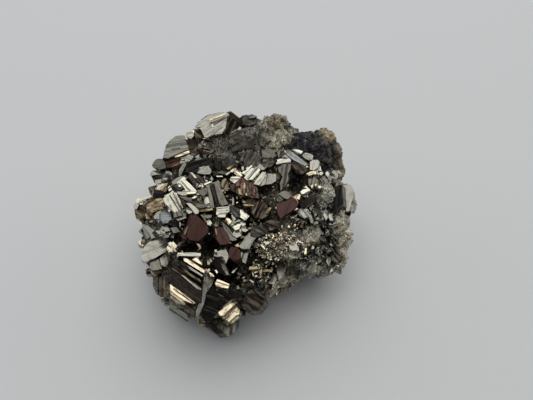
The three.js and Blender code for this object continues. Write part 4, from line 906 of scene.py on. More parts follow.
    "right flake": ("grey", (4, 9), -60, 3.6, 4, 0, [(23.8, 3.9), (24.6, 3.6), (25.3, 2.2), (24.4, 0.7),
        (23.6, 2.2)]),
    "right flake two": ("grey", (4, 4), -60, 3.6, 4, 0, [(25.1, 3.2), (26.1, 2.7), (26.7, 1), (25.8, 0.8),
        (25.1, 2.1)]),
    "flank nub": ("grey", (2, 10), 85, 6.6, 4, 0, [(24.8, -9.9), (25.8, -10.1), (25.9, -11.5),
        (25.3, -12.7), (24.5, -11.5)]),
    "flank spark": ("bright", (10, 2), 80, 1.8, 3, 0, [(30.6, 1), (31.4, 1), (31.4, 0.1), (30.7, 0.1)]),
    # Top: dull faces of the far side
    "top cube": ("dull", (0, 4), 10, 4.6, 5, -1, [(-0.6, 32.2), (0.6, 32.5), (3.6, 31.9), (4.2, 31),
        (3.9, 29.8), (1.8, 29.2), (-0.3, 29.5)]),
    "blue facet": ("dull", (6, -10), 30, 4.8, 5, 0.3, [(5.4, 27.4), (6.6, 28.3), (8.6, 28), (9.2, 26.2),
        (7.7, 25.3), (5.7, 25.6)]),
    "dull slope": ("dull", (-6, -6), 25, 6.6, 7, 0.15, [(-4.5, 26.2), (-2.4, 27.7), (0.6, 28.6), (3, 27.7),
        (1.8, 25.6), (-1.2, 24.1), (-3.9, 24.1)]),
    "dull slope low": ("dull", (6, -14), 30, 6.4, 7, 0.1, [(-4.2, 23.2), (-1.8, 23.8), (1.2, 25),
        (3.6, 25.9), (4.2, 24.4), (1.8, 22.6), (-1.2, 22), (-3.6, 21.4)]),
    "dull plate": ("dull", (-4, -8), 60, 4, 5, 0.4, [(-0.3, 21.1), (1.8, 22), (4.5, 21.1), (5.4, 19.3),
        (4.2, 18.1), (2.4, 16.3), (0, 17.2)]),
    "pale plate": ("slate", (8, -6), -30, 3.6, 5, 0.4, [(5.4, 21.4), (6.6, 22.3), (8.9, 22), (9.5, 20.2),
        (8.3, 19.3), (5.4, 19.6)]),
    "pale plate low": ("dull", (0, 2), 20, 3.4, 5, 0.3, [(5.7, 19.3), (8.3, 19), (9.2, 18.1), (7.7, 16.6),
        (5.4, 17.2)]),
    "ledge wall": ("slate", (-2, 15), 80, 3.6, 6, 0.45, [(10.1, 17.5), (11.9, 18.1), (14, 17.8), (14, 16),
        (13.1, 14.5), (13.4, 12.7), (12.2, 10.6), (11, 9.4), (10.7, 11.8), (11.6, 13.6), (10.4, 15.4)]),
    "ledge foot": ("grey", (0, 14), -50, 3.4, 4, 0.2, [(11.9, 11.8), (12.8, 12.7), (13.4, 11.2),
        (12.5, 10.6)]),
    "grey slab two": ("slate", (-6, 12), 80, 3.8, 5, 0.2, [(19.1, 13.9), (20.6, 14.2), (22.1, 13),
        (22.4, 10.6), (20.6, 10), (19.4, 11.2)]),
    # Ribs of the russet comb
    "comb glint": ("gold", (0, 3), 70, 4.3, 3, 0, [(-1.5, 10), (-0.9, 10.3), (-0.9, 7.6), (-1.5, 7.9)]),
    "comb glint two": ("cream", (0, 3), 66, 4.3, 3, 0, [(-0.3, 10.6), (0, 10.9), (0.3, 9.1), (-0.3, 8.5)]),
    "comb rib one": ("gold", (0, 7), 76, 4.9, 4, 0, [(-2.3, 12.4), (-1.5, 12.2), (-0.7, 8.5), (-1.5, 8.7)]),
    "comb rib two": ("russet", (0, -6), 76, 4.9, 4, 0, [(-1.4, 12.7), (-0.6, 12.5), (0.1, 8.1),
        (-0.6, 8.3)]),
    "comb rib three": ("gold", (0, 2), 76, 4.9, 4, 0, [(-0.5, 12.3), (0.3, 12.1), (1, 8.2), (0.3, 8.4)]),
    "comb rib four": ("brown", (0, -6), 76, 4.9, 4, 0, [(0.4, 12.4), (1.1, 12.2), (1.9, 7.8), (1.1, 8)]),
    "comb rib five": ("brown", (0, 7), 76, 4.9, 4, 0, [(1.3, 12), (2, 11.8), (2.8, 7.6), (2, 7.8)]),
    "comb rib six": ("russet", (0, -6), 76, 4.9, 4, 0, [(2.1, 11.8), (2.9, 11.6), (3.7, 7.6), (2.9, 7.8)]),
    "comb rib seven": ("brown", (0, -6), 76, 4.9, 4, 0, [(3, 11.2), (3.8, 11), (4.6, 7.3), (3.8, 7.5)]),
    # Faces low on the right, and fine lines on others
    "moss facet": ("dull", (4, -10), -30, 3.6, 4, 0.2, [(2.1, -1.6), (5.4, -0.1), (7.7, -0.7), (7.1, -2.8),
        (3.6, -4.3), (1.8, -3.4)]),
    "moss facet two": ("brown", (2, 6), -20, 3.7, 4, 0.1, [(5.4, -0.1), (8.9, 1.3), (11, 0.4), (10.4, -1.3),
        (7.7, -2.2), (7.1, -0.7)]),
    "grain slab two": ("steel", (2, 12), 70, 4.6, 4, 0.3, [(9.5, -13.3), (11.3, -11.5), (12.8, -12.7),
        (12.2, -15.7), (10.4, -16.9)]),
    "flank face": ("slate", (6, 12), 60, 5.4, 4, 0.2, [(18.2, -11.5), (20, -10.3), (21.5, -12.1),
        (20.9, -14.8), (19.1, -15.1)]),
    "flank face two": ("slate", (4, 14), -50, 5.4, 4, 0.2, [(26, -7.9), (28.1, -7), (29, -9.4),
        (27.8, -11.8), (26, -10.9)]),
    # The plank lines and the first roof crack are thin black strips laid on those faces: painted shade of
    # cracks.
    # The second roof crack is a thin light strip laid on the roof: a painted highlight along an edge.
    "plank line": ("black", (0, 0), -60, 4.46, 0.8, -1, [(-22.4, 8.5), (-22.1, 8.6), (-19.1, 3.6),
        (-19.4, 3.5)]),
    "plank line two": ("black", (0, 0), -60, 4.46, 0.8, -1, [(-21.4, 9.2), (-21.2, 9.3), (-18.6, 4.5),
        (-18.8, 4.3)]),
    "roof crack": ("black", (0, -10), -38, 4.7, 1, -1, [(12.7, 18.8), (13.1, 19.2), (16.7, 17.3),
        (16.4, 17)]),
    "roof crack two": ("silver", (0, 2), -38, 4.75, 1, -1, [(14.3, 21), (14.6, 21.2), (17.6, 18.9),
        (17.3, 18.7)]),
    "cube edge": ("slate", (-4, 12), 20, 4.9, 2, 0, [(0.9, 32.2), (2.4, 32.5), (3.9, 32), (3, 31.5),
        (1.5, 31.4)]),
}
WALLS = 0.22
ALONG_SIGHT = 0.85


def add_seen_face(heap, rng, skin, turned_by, ridge_angle, proud, deep, flash, outline):
    """Adds a crystal that shows one face of a given outline and reaches back into the stone."""
    place = on_sight(np.mean(outline, axis=0), proud)
    sight = (view_eye - place) / np.linalg.norm(view_eye - place)
    shine = sight + np.array([0, 0, 1.0])
    shine /= np.linalg.norm(shine)
    right = view_right - shine * (view_right @ shine)
    right /= np.linalg.norm(right)
    up = np.cross(shine, right)
    to_right, to_up = (math.tan(math.radians(degrees)) for degrees in turned_by)
    normal = shine + right * to_right + up * to_up
    normal /= np.linalg.norm(normal)
    angle = math.radians(ridge_angle)
    ridges = view_right * math.cos(angle) + view_up * math.sin(angle)
    ridges = ridges - sight * (ridges @ normal) / (sight @ normal)
    ridges /= np.linalg.norm(ridges)
    side = np.cross(normal, ridges)
    corners = []
    for across, up_by in outline:
        way = view_middle + view_right * across + view_up * up_by - view_eye
        corners.append(view_eye + way * ((place - view_eye) @ normal) / (way @ normal))
    area = sum(np.cross(corners[i - 1] - place, corners[i] - place) @ normal for i in range(len(corners)))
    if area < 0:
        corners.reverse()
    spread = right * rng.uniform(-WALLS, WALLS) + up * rng.uniform(-WALLS, WALLS)
    inward = spread - (normal * (1 - ALONG_SIGHT) + sight * ALONG_SIGHT)
    back = [corner + inward * deep for corner in corners]
    mark = rng.uniform(0, 50)
    number = SKINS.index(skin)
    add_prism(heap, back, corners, [(corner @ ridges, corner @ side, mark) for corner in corners], number)
    face = (normal, ridges, side, corners)
    broad_lean = LEANS["broad on a seen face"]
    add_ridges(heap, face, np.eye(3), np.zeros(3), rng, mark, number, broad_lean, flash, shine)


# Patches of small shards between the faces, and the hollows that all small pieces keep out of.
SHARD_PATCHES = [
    {"middle": (-5, 3), "reach": (17, 24), "count": 420, "size": 0.75, "turn": 16, "proud": 3.4,
     "skins": ("silver", "cream", "gold", "gold", "steel", "slate", "slate", "brown", "brown", "black")},
    {"middle": (10.1, -7), "reach": (7.6, 4), "count": 420, "size": 0.72, "turn": 17, "proud": 3.6,
     "skins": ("cream", "cream", "silver", "gold", "gold", "silver", "grey", "grey", "steel")},
    {"middle": (11, -6), "reach": (6.4, 3.6), "count": 170, "size": 0.52, "turn": 9, "proud": 3.9,
     "skins": ("cream", "cream", "silver", "gold")},
    {"middle": (17.6, 0), "reach": (4.5, 3), "count": 100, "size": 0.75, "turn": 18, "proud": 3.4,
     "skins": ("cream", "steel", "steel", "gold", "slate", "dull", "black")},
    {"middle": (6, -13.4), "reach": (4.5, 3.2), "count": 70, "size": 0.7, "turn": 16, "proud": 3.2,
     "skins": ("cream", "gold", "gold", "steel", "slate")},
    {"middle": (9.8, -17), "reach": (3.4, 4), "count": 90, "size": 0.7, "turn": 18, "proud": 3.2,
     "skins": ("silver", "steel", "grey", "slate", "cream")},
    {"middle": (22, -11.5), "reach": (5.4, 4.4), "count": 130, "size": 0.85, "turn": 22, "proud": 3.4,
     "skins": ("steel", "grey", "silver", "steel", "slate")},
    {"middle": (26.4, -4), "reach": (3.6, 8), "count": 110, "size": 0.9, "turn": 20, "proud": 3.2,
     "skins": ("dull", "steel", "slate", "grey", "gold")},
    {"middle": (22, 5.5), "reach": (4.6, 6), "count": 130, "size": 0.8, "turn": 20, "proud": 3.2,
     "skins": ("steel", "steel", "grey", "dull", "slate")},
    {"middle": (11, 24.6), "reach": (3, 3.4), "count": 60, "size": 0.6, "turn": 22, "proud": 3.2,
     "skins": ("steel", "gold", "slate", "dull")},
    {"middle": (3, 22), "reach": (7.5, 6.4), "count": 150, "size": 1.1, "turn": 22, "proud": 3.2,
     "skins": ("dull", "dull", "brown", "slate", "slate")},
]
PITS = [
    {"at": (15.6, 11.6), "radius": 5, "deep": 5},
    {"at": (-10.2, -6.4), "radius": 4.4, "deep": 4.5},
    {"at": (-16.2, -6.8), "radius": 3.4, "deep": 2.6},
    {"at": (-5.5, -14.5), "radius": 5.4, "deep": 5},
    {"at": (-21, -5), "radius": 3, "deep": 2.5},
    {"at": (-30, -4.4), "radius": 4.6, "deep": 3},
    {"at": (-29.6, -15.6), "radius": 5, "deep": 3},
]
SHARD = {"deep": 3.5, "lower": 1.6, "smallest": 0.3, "longest": 2.4, "ragged": (0.5, 1.3)}
SHARD_CORNERS = (3, 4, 4, 5)
CLEAR_OF_PITS = 0.75
FULL_TURN = 6.283
HALF_TURN = 3.14


def shard_outline(rng, patch):
    """Middle and corners of a small angular shard somewhere in a patch."""
    way, far = rng.uniform(0, 2 * math.pi), math.sqrt(rng.random())
    across = patch["middle"][0] + patch["reach"][0] * far * math.cos(way)
    up_by = patch["middle"][1] + patch["reach"][1] * far * math.sin(way)
    reach = patch["size"] * rng.uniform(SHARD["smallest"], 1)
    start = rng.uniform(0, 6)
    long_way, stretch = rng.uniform(0, HALF_TURN), rng.uniform(1, SHARD["longest"])
    corners = rng.choice(SHARD_CORNERS)
    outline = []
    for i in range(corners):
        far = reach * rng.uniform(*SHARD["ragged"])
        along = far * math.cos(start + i * FULL_TURN / corners) * stretch ** 0.5
        beside = far * math.sin(start + i * FULL_TURN / corners) / stretch ** 0.5
        outline.append((
            across + along * math.cos(long_way) - beside * math.sin(long_way),
            up_by + along * math.sin(long_way) + beside * math.cos(long_way),
        ))
    return (across, up_by), outline


def add_shards(heap, rng):
    """Fills the patches with shards."""
    for patch in SHARD_PATCHES:
        for _ in range(patch["count"]):
            middle, outline = shard_outline(rng, patch)
            lean = [rng.uniform(-1, 1) * patch["turn"] for _ in range(2)]
            skin = rng.choice(patch["skins"])
            if any(math.dist(middle, pit["at"]) < CLEAR_OF_PITS * pit["radius"] for pit in PITS):
                continue
            proud = patch["proud"] - rng.uniform(0, SHARD["lower"])
            add_seen_face(heap, rng, skin, lean, rng.uniform(-90, 90), proud, SHARD["deep"], 0, outline)


crystal_heap = new_heap()
crystal_rng = random.Random(48)
for crystal in CRYSTALS:
    add_root(crystal_heap, crystal_rng, *crystal)
for seen_face in FACES.values():
    add_seen_face(crystal_heap, crystal_rng, *seen_face)
add_shards(crystal_heap, random.Random(5))
stone_piece("striated_crystals", heap_mesh("striated_crystals", crystal_heap), CRYSTAL_FINISHES_AND_PAINTED_LIGHT.values())

# The small crystals.
# Blocks too small to be told apart that fill the gaps on the crystal side, and a few that dot the rest.
# They are the same bright pyrite, each grown its own way out of the mass.
SMALL_CRYSTALS = {"count": 200, "smallest": 2.6, "largest": 6.2, "in_view": 0.62, "seed": 29}
CRYSTAL_SIDE = {"across": -0.72, "up": 0.12, "towards": 0.68, "reach": 72}
LONE_SHARE = 0.14
OPEN_SPACE = 0.62
CHIPS = {"count": 900, "smallest": 0.9, "largest": 2.8, "near": 4.5, "seed": 5}


def in_pit(place):
    """Tells a place that lies in one of the pits."""
    return any(np.linalg.norm(place - on_sight(pit["at"], 0)) < pit["radius"] for pit in PITS)


def on_stone(direction):
    """Where a direction from the middle comes out of the masses."""
    reaches = []
    for mass in MASSES:
        start = (view_middle - mass["middle"]) / np.array(mass["radii"])
        step = direction / np.array(mass["radii"])
        a, b = step @ step, start @ step
        reaches.append((-b + math.sqrt(max(b * b - a * (start @ start - 1), 0))) / a)
    return view_middle + direction * max(reaches)


def series_from(seed):
    """A small repeatable random series."""
    state = seed
    while True:
        state = (state * 16807) % 2147483647
        yield state / 2147483647


def spread_directions(count, draws):
    """Directions spread evenly over a ball, each moved a little."""
    golden_turn = math.pi * (3 - math.sqrt(5))
    directions = []
    for i in range(count):
        height = 1 - 2 * (i + 0.5) / count
        ring = math.sqrt(1 - height * height)
        turn = golden_turn * i + (next(draws) - 0.5) * 0.35
        directions.append(np.array([ring * math.cos(turn), ring * math.sin(turn), height]))
    return directions


def from_crystal_side(direction):
    """Degrees from the way that the crystal side faces."""
    side = CRYSTAL_SIDE
    axis = view_right * side["across"] + view_up * side["up"] + view_towards * side["towards"]
    cosine = axis @ direction / np.linalg.norm(axis) / np.linalg.norm(direction)
    return math.degrees(math.acos(max(-1.0, min(1.0, cosine))))


def turned(angles):
    """A turn about x, then y, then z of the turned block."""
    x, y, z = (Matrix.Rotation(angle, 3, axis) for angle, axis in zip(angles, "XYZ"))
    return np.array(x @ y @ z)


def small_crystal_places():
    """Size, turn and middle of the small crystals, as the solid has them."""
    values = SMALL_CRYSTALS
    draws = series_from(values["seed"])
    taken = [(on_sight(at, 0), max(size)) for at, size, *_ in CRYSTALS]
    places = []
    for direction in spread_directions(values["count"], draws):
        share = values["in_view"] if direction @ view_towards > -0.35 else 1
        size = share * (values["smallest"] + (values["largest"] - values["smallest"]) * next(draws) ** 1.5)
        shape = (size, size * (0.7 + 0.3 * next(draws)), size * (0.8 + 0.3 * next(draws)))
        angles = [next(draws) * math.pi for _ in range(3)]
        next(draws)  # the solid has one more draw here
        lone = next(draws)
        place = on_stone(direction)
        crowded = any(np.linalg.norm(place - other) < width * OPEN_SPACE for other, width in taken)
        apart = from_crystal_side(direction) > CRYSTAL_SIDE["reach"]
        if crowded or (apart and lone > LONE_SHARE) or in_pit(place):
            continue
        outward = size * (0.3 if apart else 0.12)
        if direction @ view_towards > 0.3:
            outward = -0.45 * size
        places.append((shape, turned(angles), place + direction * outward))
    return places


def chip_places(rng):
    """Size, turn and middle of the chips round the crystals and on the hidden part of the crystal side."""
    crystal_places = np.array([on_sight(at, 0) for at, *_ in CRYSTALS])
    for direction in spread_directions(CHIPS["count"], series_from(CHIPS["seed"])):
        place = on_stone(direction)
        size = CHIPS["smallest"] + (CHIPS["largest"] - CHIPS["smallest"]) * rng.random() ** 2
        near = np.linalg.norm(crystal_places - place, axis=1).min() < CHIPS["near"]
        seen = direction @ view_towards > 0.25
        if direction[2] < -0.35 or in_pit(place):
            continue
        if (near and seen) or (not near and (seen or from_crystal_side(direction) > CRYSTAL_SIDE["reach"])):
            continue
        shape = [size * rng.uniform(0.6, 1.1) for _ in range(3)]
        turn = turned([rng.uniform(0, math.pi) for _ in range(3)])
        yield shape, turn, place + direction * rng.uniform(0, 0.8)


small_heap = new_heap()
small_rng = random.Random(7)
common_skins = [SKINS.index(skin) for skin in ("bright", "grey", "grey", "brown", "gold", "blue")]
for shape, turn, middle in small_crystal_places():
    add_block(small_heap, shape, turn, middle, small_rng, small_rng.choice(common_skins))
    for _ in range(2):
        part = np.array(shape) * small_rng.uniform(0.4, 0.7)
        offset = np.array([small_rng.uniform(-0.5, 0.5) * length for length in shape])
        add_block(small_heap, part, turn, middle + turn @ offset, small_rng, small_rng.choice(common_skins))
for shape, turn, middle in chip_places(small_rng):
    add_block(small_heap, shape, turn, middle, small_rng, small_rng.choice(common_skins))
stone_piece("small_crystals", heap_mesh("small_crystals", small_heap), CRYSTAL_FINISHES_AND_PAINTED_LIGHT.values())

# The fine-grained mass.
# Pyrite that grew as a compact lump of small grains: two rounded masses with smaller lumps on them.
# The stone was broken off its bed and rests on that flat break.
LUMPS = [
    {"at": (-4.6, 25.4), "radius": 5.4},
    {"at": (-12, 22), "radius": 5},
    {"at": (9.9, 29.6), "radius": 5.2},
    {"at": (1.5, 31.2), "radius": 2.6},
    {"at": (13.6, 27.2), "radius": 3.9},
    {"at": (-1.2, 22.6), "radius": 6},
    {"at": (3.6, 25), "radius": 6},
    {"at": (7.5, 23.5), "radius": 5},
    {"at": (12, 25), "radius": 5},
    {"at": (12.9, 14.9), "radius": 3.6},
    {"at": (24, 8.3), "radius": 4.6},
    {"at": (21.6, 2.9), "radius": 3.8},
    {"at": (28.2, 0.5), "radius": 4.6},
    {"at": (29.4, -5), "radius": 4.8},
    {"at": (28.2, -11), "radius": 4.6},
    {"at": (25.2, -12.8), "radius": 4.2},
    {"at": (19.2, -12.2), "radius": 4.8},
    {"at": (15.6, -14.6), "radius": 3.8},
    {"at": (10.5, -16), "radius": 4.6},
    {"at": (7.2, -19.4), "radius": 3.8},
    {"at": (5.4, -6.8), "radius": 4.4},
    {"at": (9.6, -7), "radius": 4.4},
    {"at": (14.1, -7.4), "radius": 4.4},
    {"at": (20.1, -2.6), "radius": 4.6},
    {"at": (13.8, -0.8), "radius": 4},
    {"at": (8.7, -0.8), "radius": 3.6},
]
HIDDEN_LUMPS = {"count": 50, "smallest": 3.6, "largest": 7.5, "seed": 11}
CORNERS_OF_A_LUMP = 42
MASS_MESH = {"facet": 0.95, "crumple": 0.36}
CRUMPLE_SEED = 21
ROUGHNESS = {"swell": 4.2, "block": 2.1, "block shift": 3.1, "grit": 0.95, "grit shift": 8.7}


def sunk_ball(at, radius, share):
    """A ball that stands out of the masses at a place as seen, sunk in by a share of its radius."""
    place = on_sight(at, 0)
    inward = view_middle - place
    return place + inward / np.linalg.norm(inward) * radius * share, [radius] * 3


def lump_balls():
    """Middle and radii of each lump, on the seen side and round the back, where the solid has them."""
    balls = [sunk_ball(lump["at"], lump["radius"], 0.38) for lump in LUMPS]
    draws = series_from(HIDDEN_LUMPS["seed"])
    spread = HIDDEN_LUMPS["largest"] - HIDDEN_LUMPS["smallest"]
    for direction in spread_directions(HIDDEN_LUMPS["count"], draws):
        radius = HIDDEN_LUMPS["smallest"] + spread * next(draws)
        flatten = 0.75 + 0.3 * next(draws)
        seen = direction @ view_towards > 0.15
        if seen or from_crystal_side(direction) < CRYSTAL_SIDE["reach"] - 12:
            continue
        place = on_stone(direction) - direction * 0.4 * radius
        balls.append((place, [radius, radius * flatten, radius]))
        for _ in range(CORNERS_OF_A_LUMP):
            next(draws)  # the solid moves each corner of a lump
    return balls


def melted_mesh(balls, voxel):
    """One closed skin round a heap of balls, in millimetres."""
    heap = bmesh.new()
    for place, radii in balls:
        size = Matrix.Diagonal(Vector((*radii, 1)))
        bmesh.ops.create_icosphere(heap, subdivisions=4, radius=1, matrix=Matrix.Translation(place) @ size)
    rough = bpy.data.meshes.new("rough_stone")
    heap.to_mesh(rough)
    heap.free()
    holder = bpy.data.objects.new("rough_stone", rough)
    bpy.context.scene.collection.objects.link(holder)
    melt = holder.modifiers.new("melt", "REMESH")
    melt.mode = "VOXEL"
    melt.voxel_size = voxel
    skin = bpy.data.meshes.new_from_object(holder.evaluated_get(bpy.context.evaluated_depsgraph_get()))
    bpy.data.objects.remove(holder)
    bpy.data.meshes.remove(rough)
    return skin


def grain_steps(point, cell, height, lean, seed):
    """How far a grain of about this size stands out: each has its own height and leans its own way."""
    _, middles = noise.voronoi(point / cell + Vector((seed, 0, 0)))
    middle = middles[0]
    lift = noise.cell(middle * 9.7 + Vector((0.5, 0.5, seed)))
    way = noise.cell_vector(middle * 7.3 + Vector((seed, 0.5, 0.5))) - Vector((0.5, 0.5, 0.5))
    offset = point / cell + Vector((seed, 0, 0)) - middle
    return height * (lift - 0.5) + lean * cell * way.dot(offset)


def grown_rough(skin, coarse, fine, crumple):
    """Moves a skin's points out and in as lumps, blocky grains and fine grit, and sinks the hollows."""
    count = len(skin.vertices)
    places = np.empty(count * 3)
    normals = np.empty(count * 3)
    skin.vertices.foreach_get("co", places)
    skin.vertex_normals.foreach_get("vector", normals)
    places, normals = places.reshape(-1, 3), normals.reshape(-1, 3)
    moved = np.empty(count)
    for i, place in enumerate(places.tolist()):
        point = Vector(place)
        moved[i] = (
            noise.noise(point / ROUGHNESS["swell"]) * coarse
            + grain_steps(point, ROUGHNESS["block"], 0.7 * coarse, 0.8 * coarse, ROUGHNESS["block shift"])
            + grain_steps(point, ROUGHNESS["grit"], fine, 1.2 * fine, ROUGHNESS["grit shift"])
        )
    places += np.random.default_rng(CRUMPLE_SEED).uniform(-crumple, crumple, places.shape)
    for pit in PITS:
        away = np.linalg.norm(places - on_sight(pit["at"], 0), axis=1) / pit["radius"]
        moved -= pit["deep"] * np.clip(1 - away, 0, 1) ** 0.7
    places += normals * moved[:, None]
    skin.vertices.foreach_set("co", places.ravel())
    skin.update()


def cut_flat(skin):
    """Cuts a skin off at z = 0 and closes the cut."""
    shape = bmesh.new()
    shape.from_mesh(skin)
    everything = shape.verts[:] + shape.edges[:] + shape.faces[:]
    cut = bmesh.ops.bisect_plane(
        shape, geom=everything, dist=1e-4, plane_co=(0, 0, 0), plane_no=(0, 0, -1), clear_outer=True
    )
    rim = [part for part in cut["geom_cut"] if isinstance(part, bmesh.types.BMEdge)]
    bmesh.ops.triangle_fill(shape, edges=rim, use_beauty=True, normal=(0, 0, -1))
    shape.to_mesh(skin)
    shape.free()


# Spots of another tone, hollows painted dark, and how much painted shade darkens the crevices between lumps
# and the ground between and under the crystals.
TONES = [
    {"at": (-1.2, 22.6), "radius": 7, "tone": (0.34, 0.31, 0.29)},
    {"at": (4, 24), "radius": 6, "tone": (0.45, 0.43, 0.4)},
    {"at": (1.5, 31.2), "radius": 3, "tone": (0.5, 0.5, 0.47)},
    {"at": (9.9, 30.2), "radius": 6, "tone": (0.68, 0.61, 0.49)},
    {"at": (10.5, 25), "radius": 4, "tone": (1.06, 0.99, 0.85)},
    {"at": (8, 19), "radius": 4, "tone": (0.5, 0.49, 0.42)},
    # These spots lift the fine-grained side above its plain tone: painted sheen that stands in for its dense
    # glints.
    {"at": (10.4, -7.2), "radius": 8, "tone": (1.65, 1.55, 1.3)},
    {"at": (17, -5), "radius": 6.5, "tone": (1.75, 1.67, 1.5)},
    {"at": (11, -15), "radius": 6.5, "tone": (1.7, 1.62, 1.44)},
    {"at": (21, -10.5), "radius": 6.5, "tone": (1.7, 1.63, 1.5)},
    {"at": (29, -4), "radius": 9, "tone": (1.6, 1.54, 1.4)},
    {"at": (24, 8), "radius": 5, "tone": (1.15, 1.15, 1.05)},
]
# Painted shade: hollows painted darker towards their middles.
PAINTED_HOLLOW_SHADE = [
    ((15.6, 11.6), 3.6), ((-10.2, -6.4), 4.4), ((-16.2, -6.8), 3.4), ((-5.5, -14.5), 5.4), ((-21, -5), 3),
    ((3.5, 8), 4.5), ((3.8, -8.4), 2.6), ((2.5, -12.5), 2.6), ((5, -17.5), 4.5), ((15.6, -14.6), 2.4),
    ((27.5, 6.5), 2.6), ((18.5, -11), 2.2), ((8.6, -0.6), 3.4), ((3, 0.5), 3.6), ((24.5, -2.5), 1.8),
    ((4.5, 26), 1.8), ((22.5, 1.5), 1.8),
]
# How strong the painted shade is in the hollows, the crevices and on the ground under the crystals, and
# where it reaches.
PAINTED_SHADE = {"hollow": 0.78, "crevice": 0.6, "crevice width": 1.3, "ground": 0.58}
PAINTED_GROUND_SHADE = {"near a face": 4, "fade": 1.5, "seen": (74, 10), "hidden": (66, 12)}


def toned_with_painted_shade(skin, spots, plain, balls):
    """Keeps each point's tone: the spots' colours, and painted shade in the hollows and between lumps and
    crystals.
    """
    count = len(skin.vertices)
    places = np.empty(count * 3)
    skin.vertices.foreach_get("co", places)
    places = places.reshape(-1, 3)
    tones = np.ones((count, 4))
    tones[:, :3] = plain
    ways = places - view_eye
    ways *= (VIEW["distance"] / -(ways @ view_towards))[:, None]
    seen_at = np.stack([ways @ view_right + VIEW["aside"], ways @ view_up + VIEW["above"]], axis=1)
    seen = ((places - view_middle) @ view_towards > -3)[:, None]
    spared = np.zeros(count)
    for spot in spots:
        away = np.linalg.norm(seen_at - np.array(spot["at"]), axis=1) / spot["radius"]
        share = np.clip(1.6 - 1.6 * away, 0, 1)[:, None] * seen
        tones[:, :3] = tones[:, :3] * (1 - share) + np.array(spot["tone"]) * share
        spared = np.maximum(spared, share[:, 0])
    # Painted shade in the hollows.
    for at, radius in PAINTED_HOLLOW_SHADE:
        away = np.linalg.norm(seen_at - np.array(at), axis=1) / radius
        tones[:, :3] *= 1 - PAINTED_SHADE["hollow"] * np.clip(2 - 2 * away, 0, 1)[:, None] * seen
    # Painted shade in the crevices, where two lumps meet.
    outside = [(np.linalg.norm((places - ball) / radii, axis=1) - 1) * min(radii) for ball, radii in balls]
    outside = np.sort(outside, axis=0)
    open_share = np.clip((outside[1] - outside[0]) / PAINTED_SHADE["crevice width"], 0, 1)
    tones[:, :3] *= (1 - PAINTED_SHADE["crevice"] + PAINTED_SHADE["crevice"] * open_share)[:, None]
    # Painted shade on the ground round the seen crystal faces and over the whole crystal side, spared where
    # a spot sets the tone.
    nearest = np.full(count, 99.0)
    for *_, outline in FACES.values():
        nearest = np.minimum(nearest, np.linalg.norm(seen_at - np.mean(outline, axis=0), axis=1))
    side = np.array([from_crystal_side(place - view_middle) for place in places])
    near = np.clip((PAINTED_GROUND_SHADE["near a face"] - nearest) / PAINTED_GROUND_SHADE["fade"], 0, 1)
    fades = [np.clip((reach - side) / fade, 0, 1) for reach, fade in (PAINTED_GROUND_SHADE["seen"], PAINTED_GROUND_SHADE["hidden"])]
    ground = np.maximum(near * fades[0] * seen[:, 0], fades[1])
    tones[:, :3] *= 1 - PAINTED_SHADE["ground"] * (ground * (1 - spared))[:, None]
    kept = skin.attributes.new("tone", "FLOAT_COLOR", "POINT")
    kept.data.foreach_set("color", tones.ravel())


def maths(tree, operation, first, second, kind="ShaderNodeMath"):
    """A shader node that works out one sum."""
    return put(tree, kind, {"operation": operation}, _0=first, _1=second)


def grit_group():
    """Fine grit and stains of grained pyrite, by place on the stone."""
    colour, number = "NodeSocketColor", "NodeSocketFloat"
    group, given, made = blank_group(
        "pyrite grit",
        [("Clean", colour, (0.5, 0.5, 0.45, 1)), ("Dirt", colour, (0.05, 0.04, 0.03, 1)),
         ("Rust", colour, (0.3, 0.2, 0.1, 1)), ("Dirt amount", number, 0.4), ("Rust amount", number, 0.3)],
        [("Color", colour), ("Roughness", number), ("Height", number)],
    )
    place = put(group, "ShaderNodeTexCoord").outputs["Object"]
    vectors = "ShaderNodeVectorMath"
    lifts = []
    for scale, steep in ((1400.0, 1.5), (3300.0, 1.2)):
        cell = put(group, "ShaderNodeTexVoronoi", Vector=place, Scale=scale)
        lean = maths(group, "SUBTRACT", cell.outputs["Color"], (0.5, 0.5, 0.5), vectors)
        offset = maths(group, "SUBTRACT", place, cell.outputs["Position"], vectors)
        slope = maths(group, "DOT_PRODUCT", lean.outputs[0], offset.outputs[0], vectors)
        lifts.append(maths(group, "MULTIPLY", slope.outputs["Value"], steep))
    patch = put(group, "ShaderNodeTexNoise", Vector=place, Scale=260.0, Detail=4.0, Roughness=0.7)
    blush = put(group, "ShaderNodeTexNoise", Vector=place, Scale=120.0, Detail=3.0, Roughness=0.6)
    under = given["Clean"]
    for spread, over, start, full in ((blush, "Rust", 0.82, 1.05), (patch, "Dirt", 0.78, 1.12)):
        lift = maths(group, "ADD", spread.outputs["Fac"], given[over + " amount"])
        stained = {"Value": lift.outputs[0], "From Min": start, "From Max": full}
        mask = put(group, "ShaderNodeMapRange", {"interpolation_type": "SMOOTHSTEP"}, **stained)
        mixed = {"Factor": mask.outputs[0], "_6": under, "_7": given[over]}
        under = put(group, "ShaderNodeMix", {"data_type": "RGBA"}, **mixed).outputs[2]
    group.links.new(under, made["Color"])
    polished = {"Value": cell.outputs["Color"], "To Min": 0.12, "To Max": 0.34}
    group.links.new(put(group, "ShaderNodeMapRange", **polished).outputs[0], made["Roughness"])
    group.links.new(maths(group, "ADD", lifts[0].outputs[0], lifts[1].outputs[0]).outputs[0], made["Height"])
    return group


GRIT = grit_group()


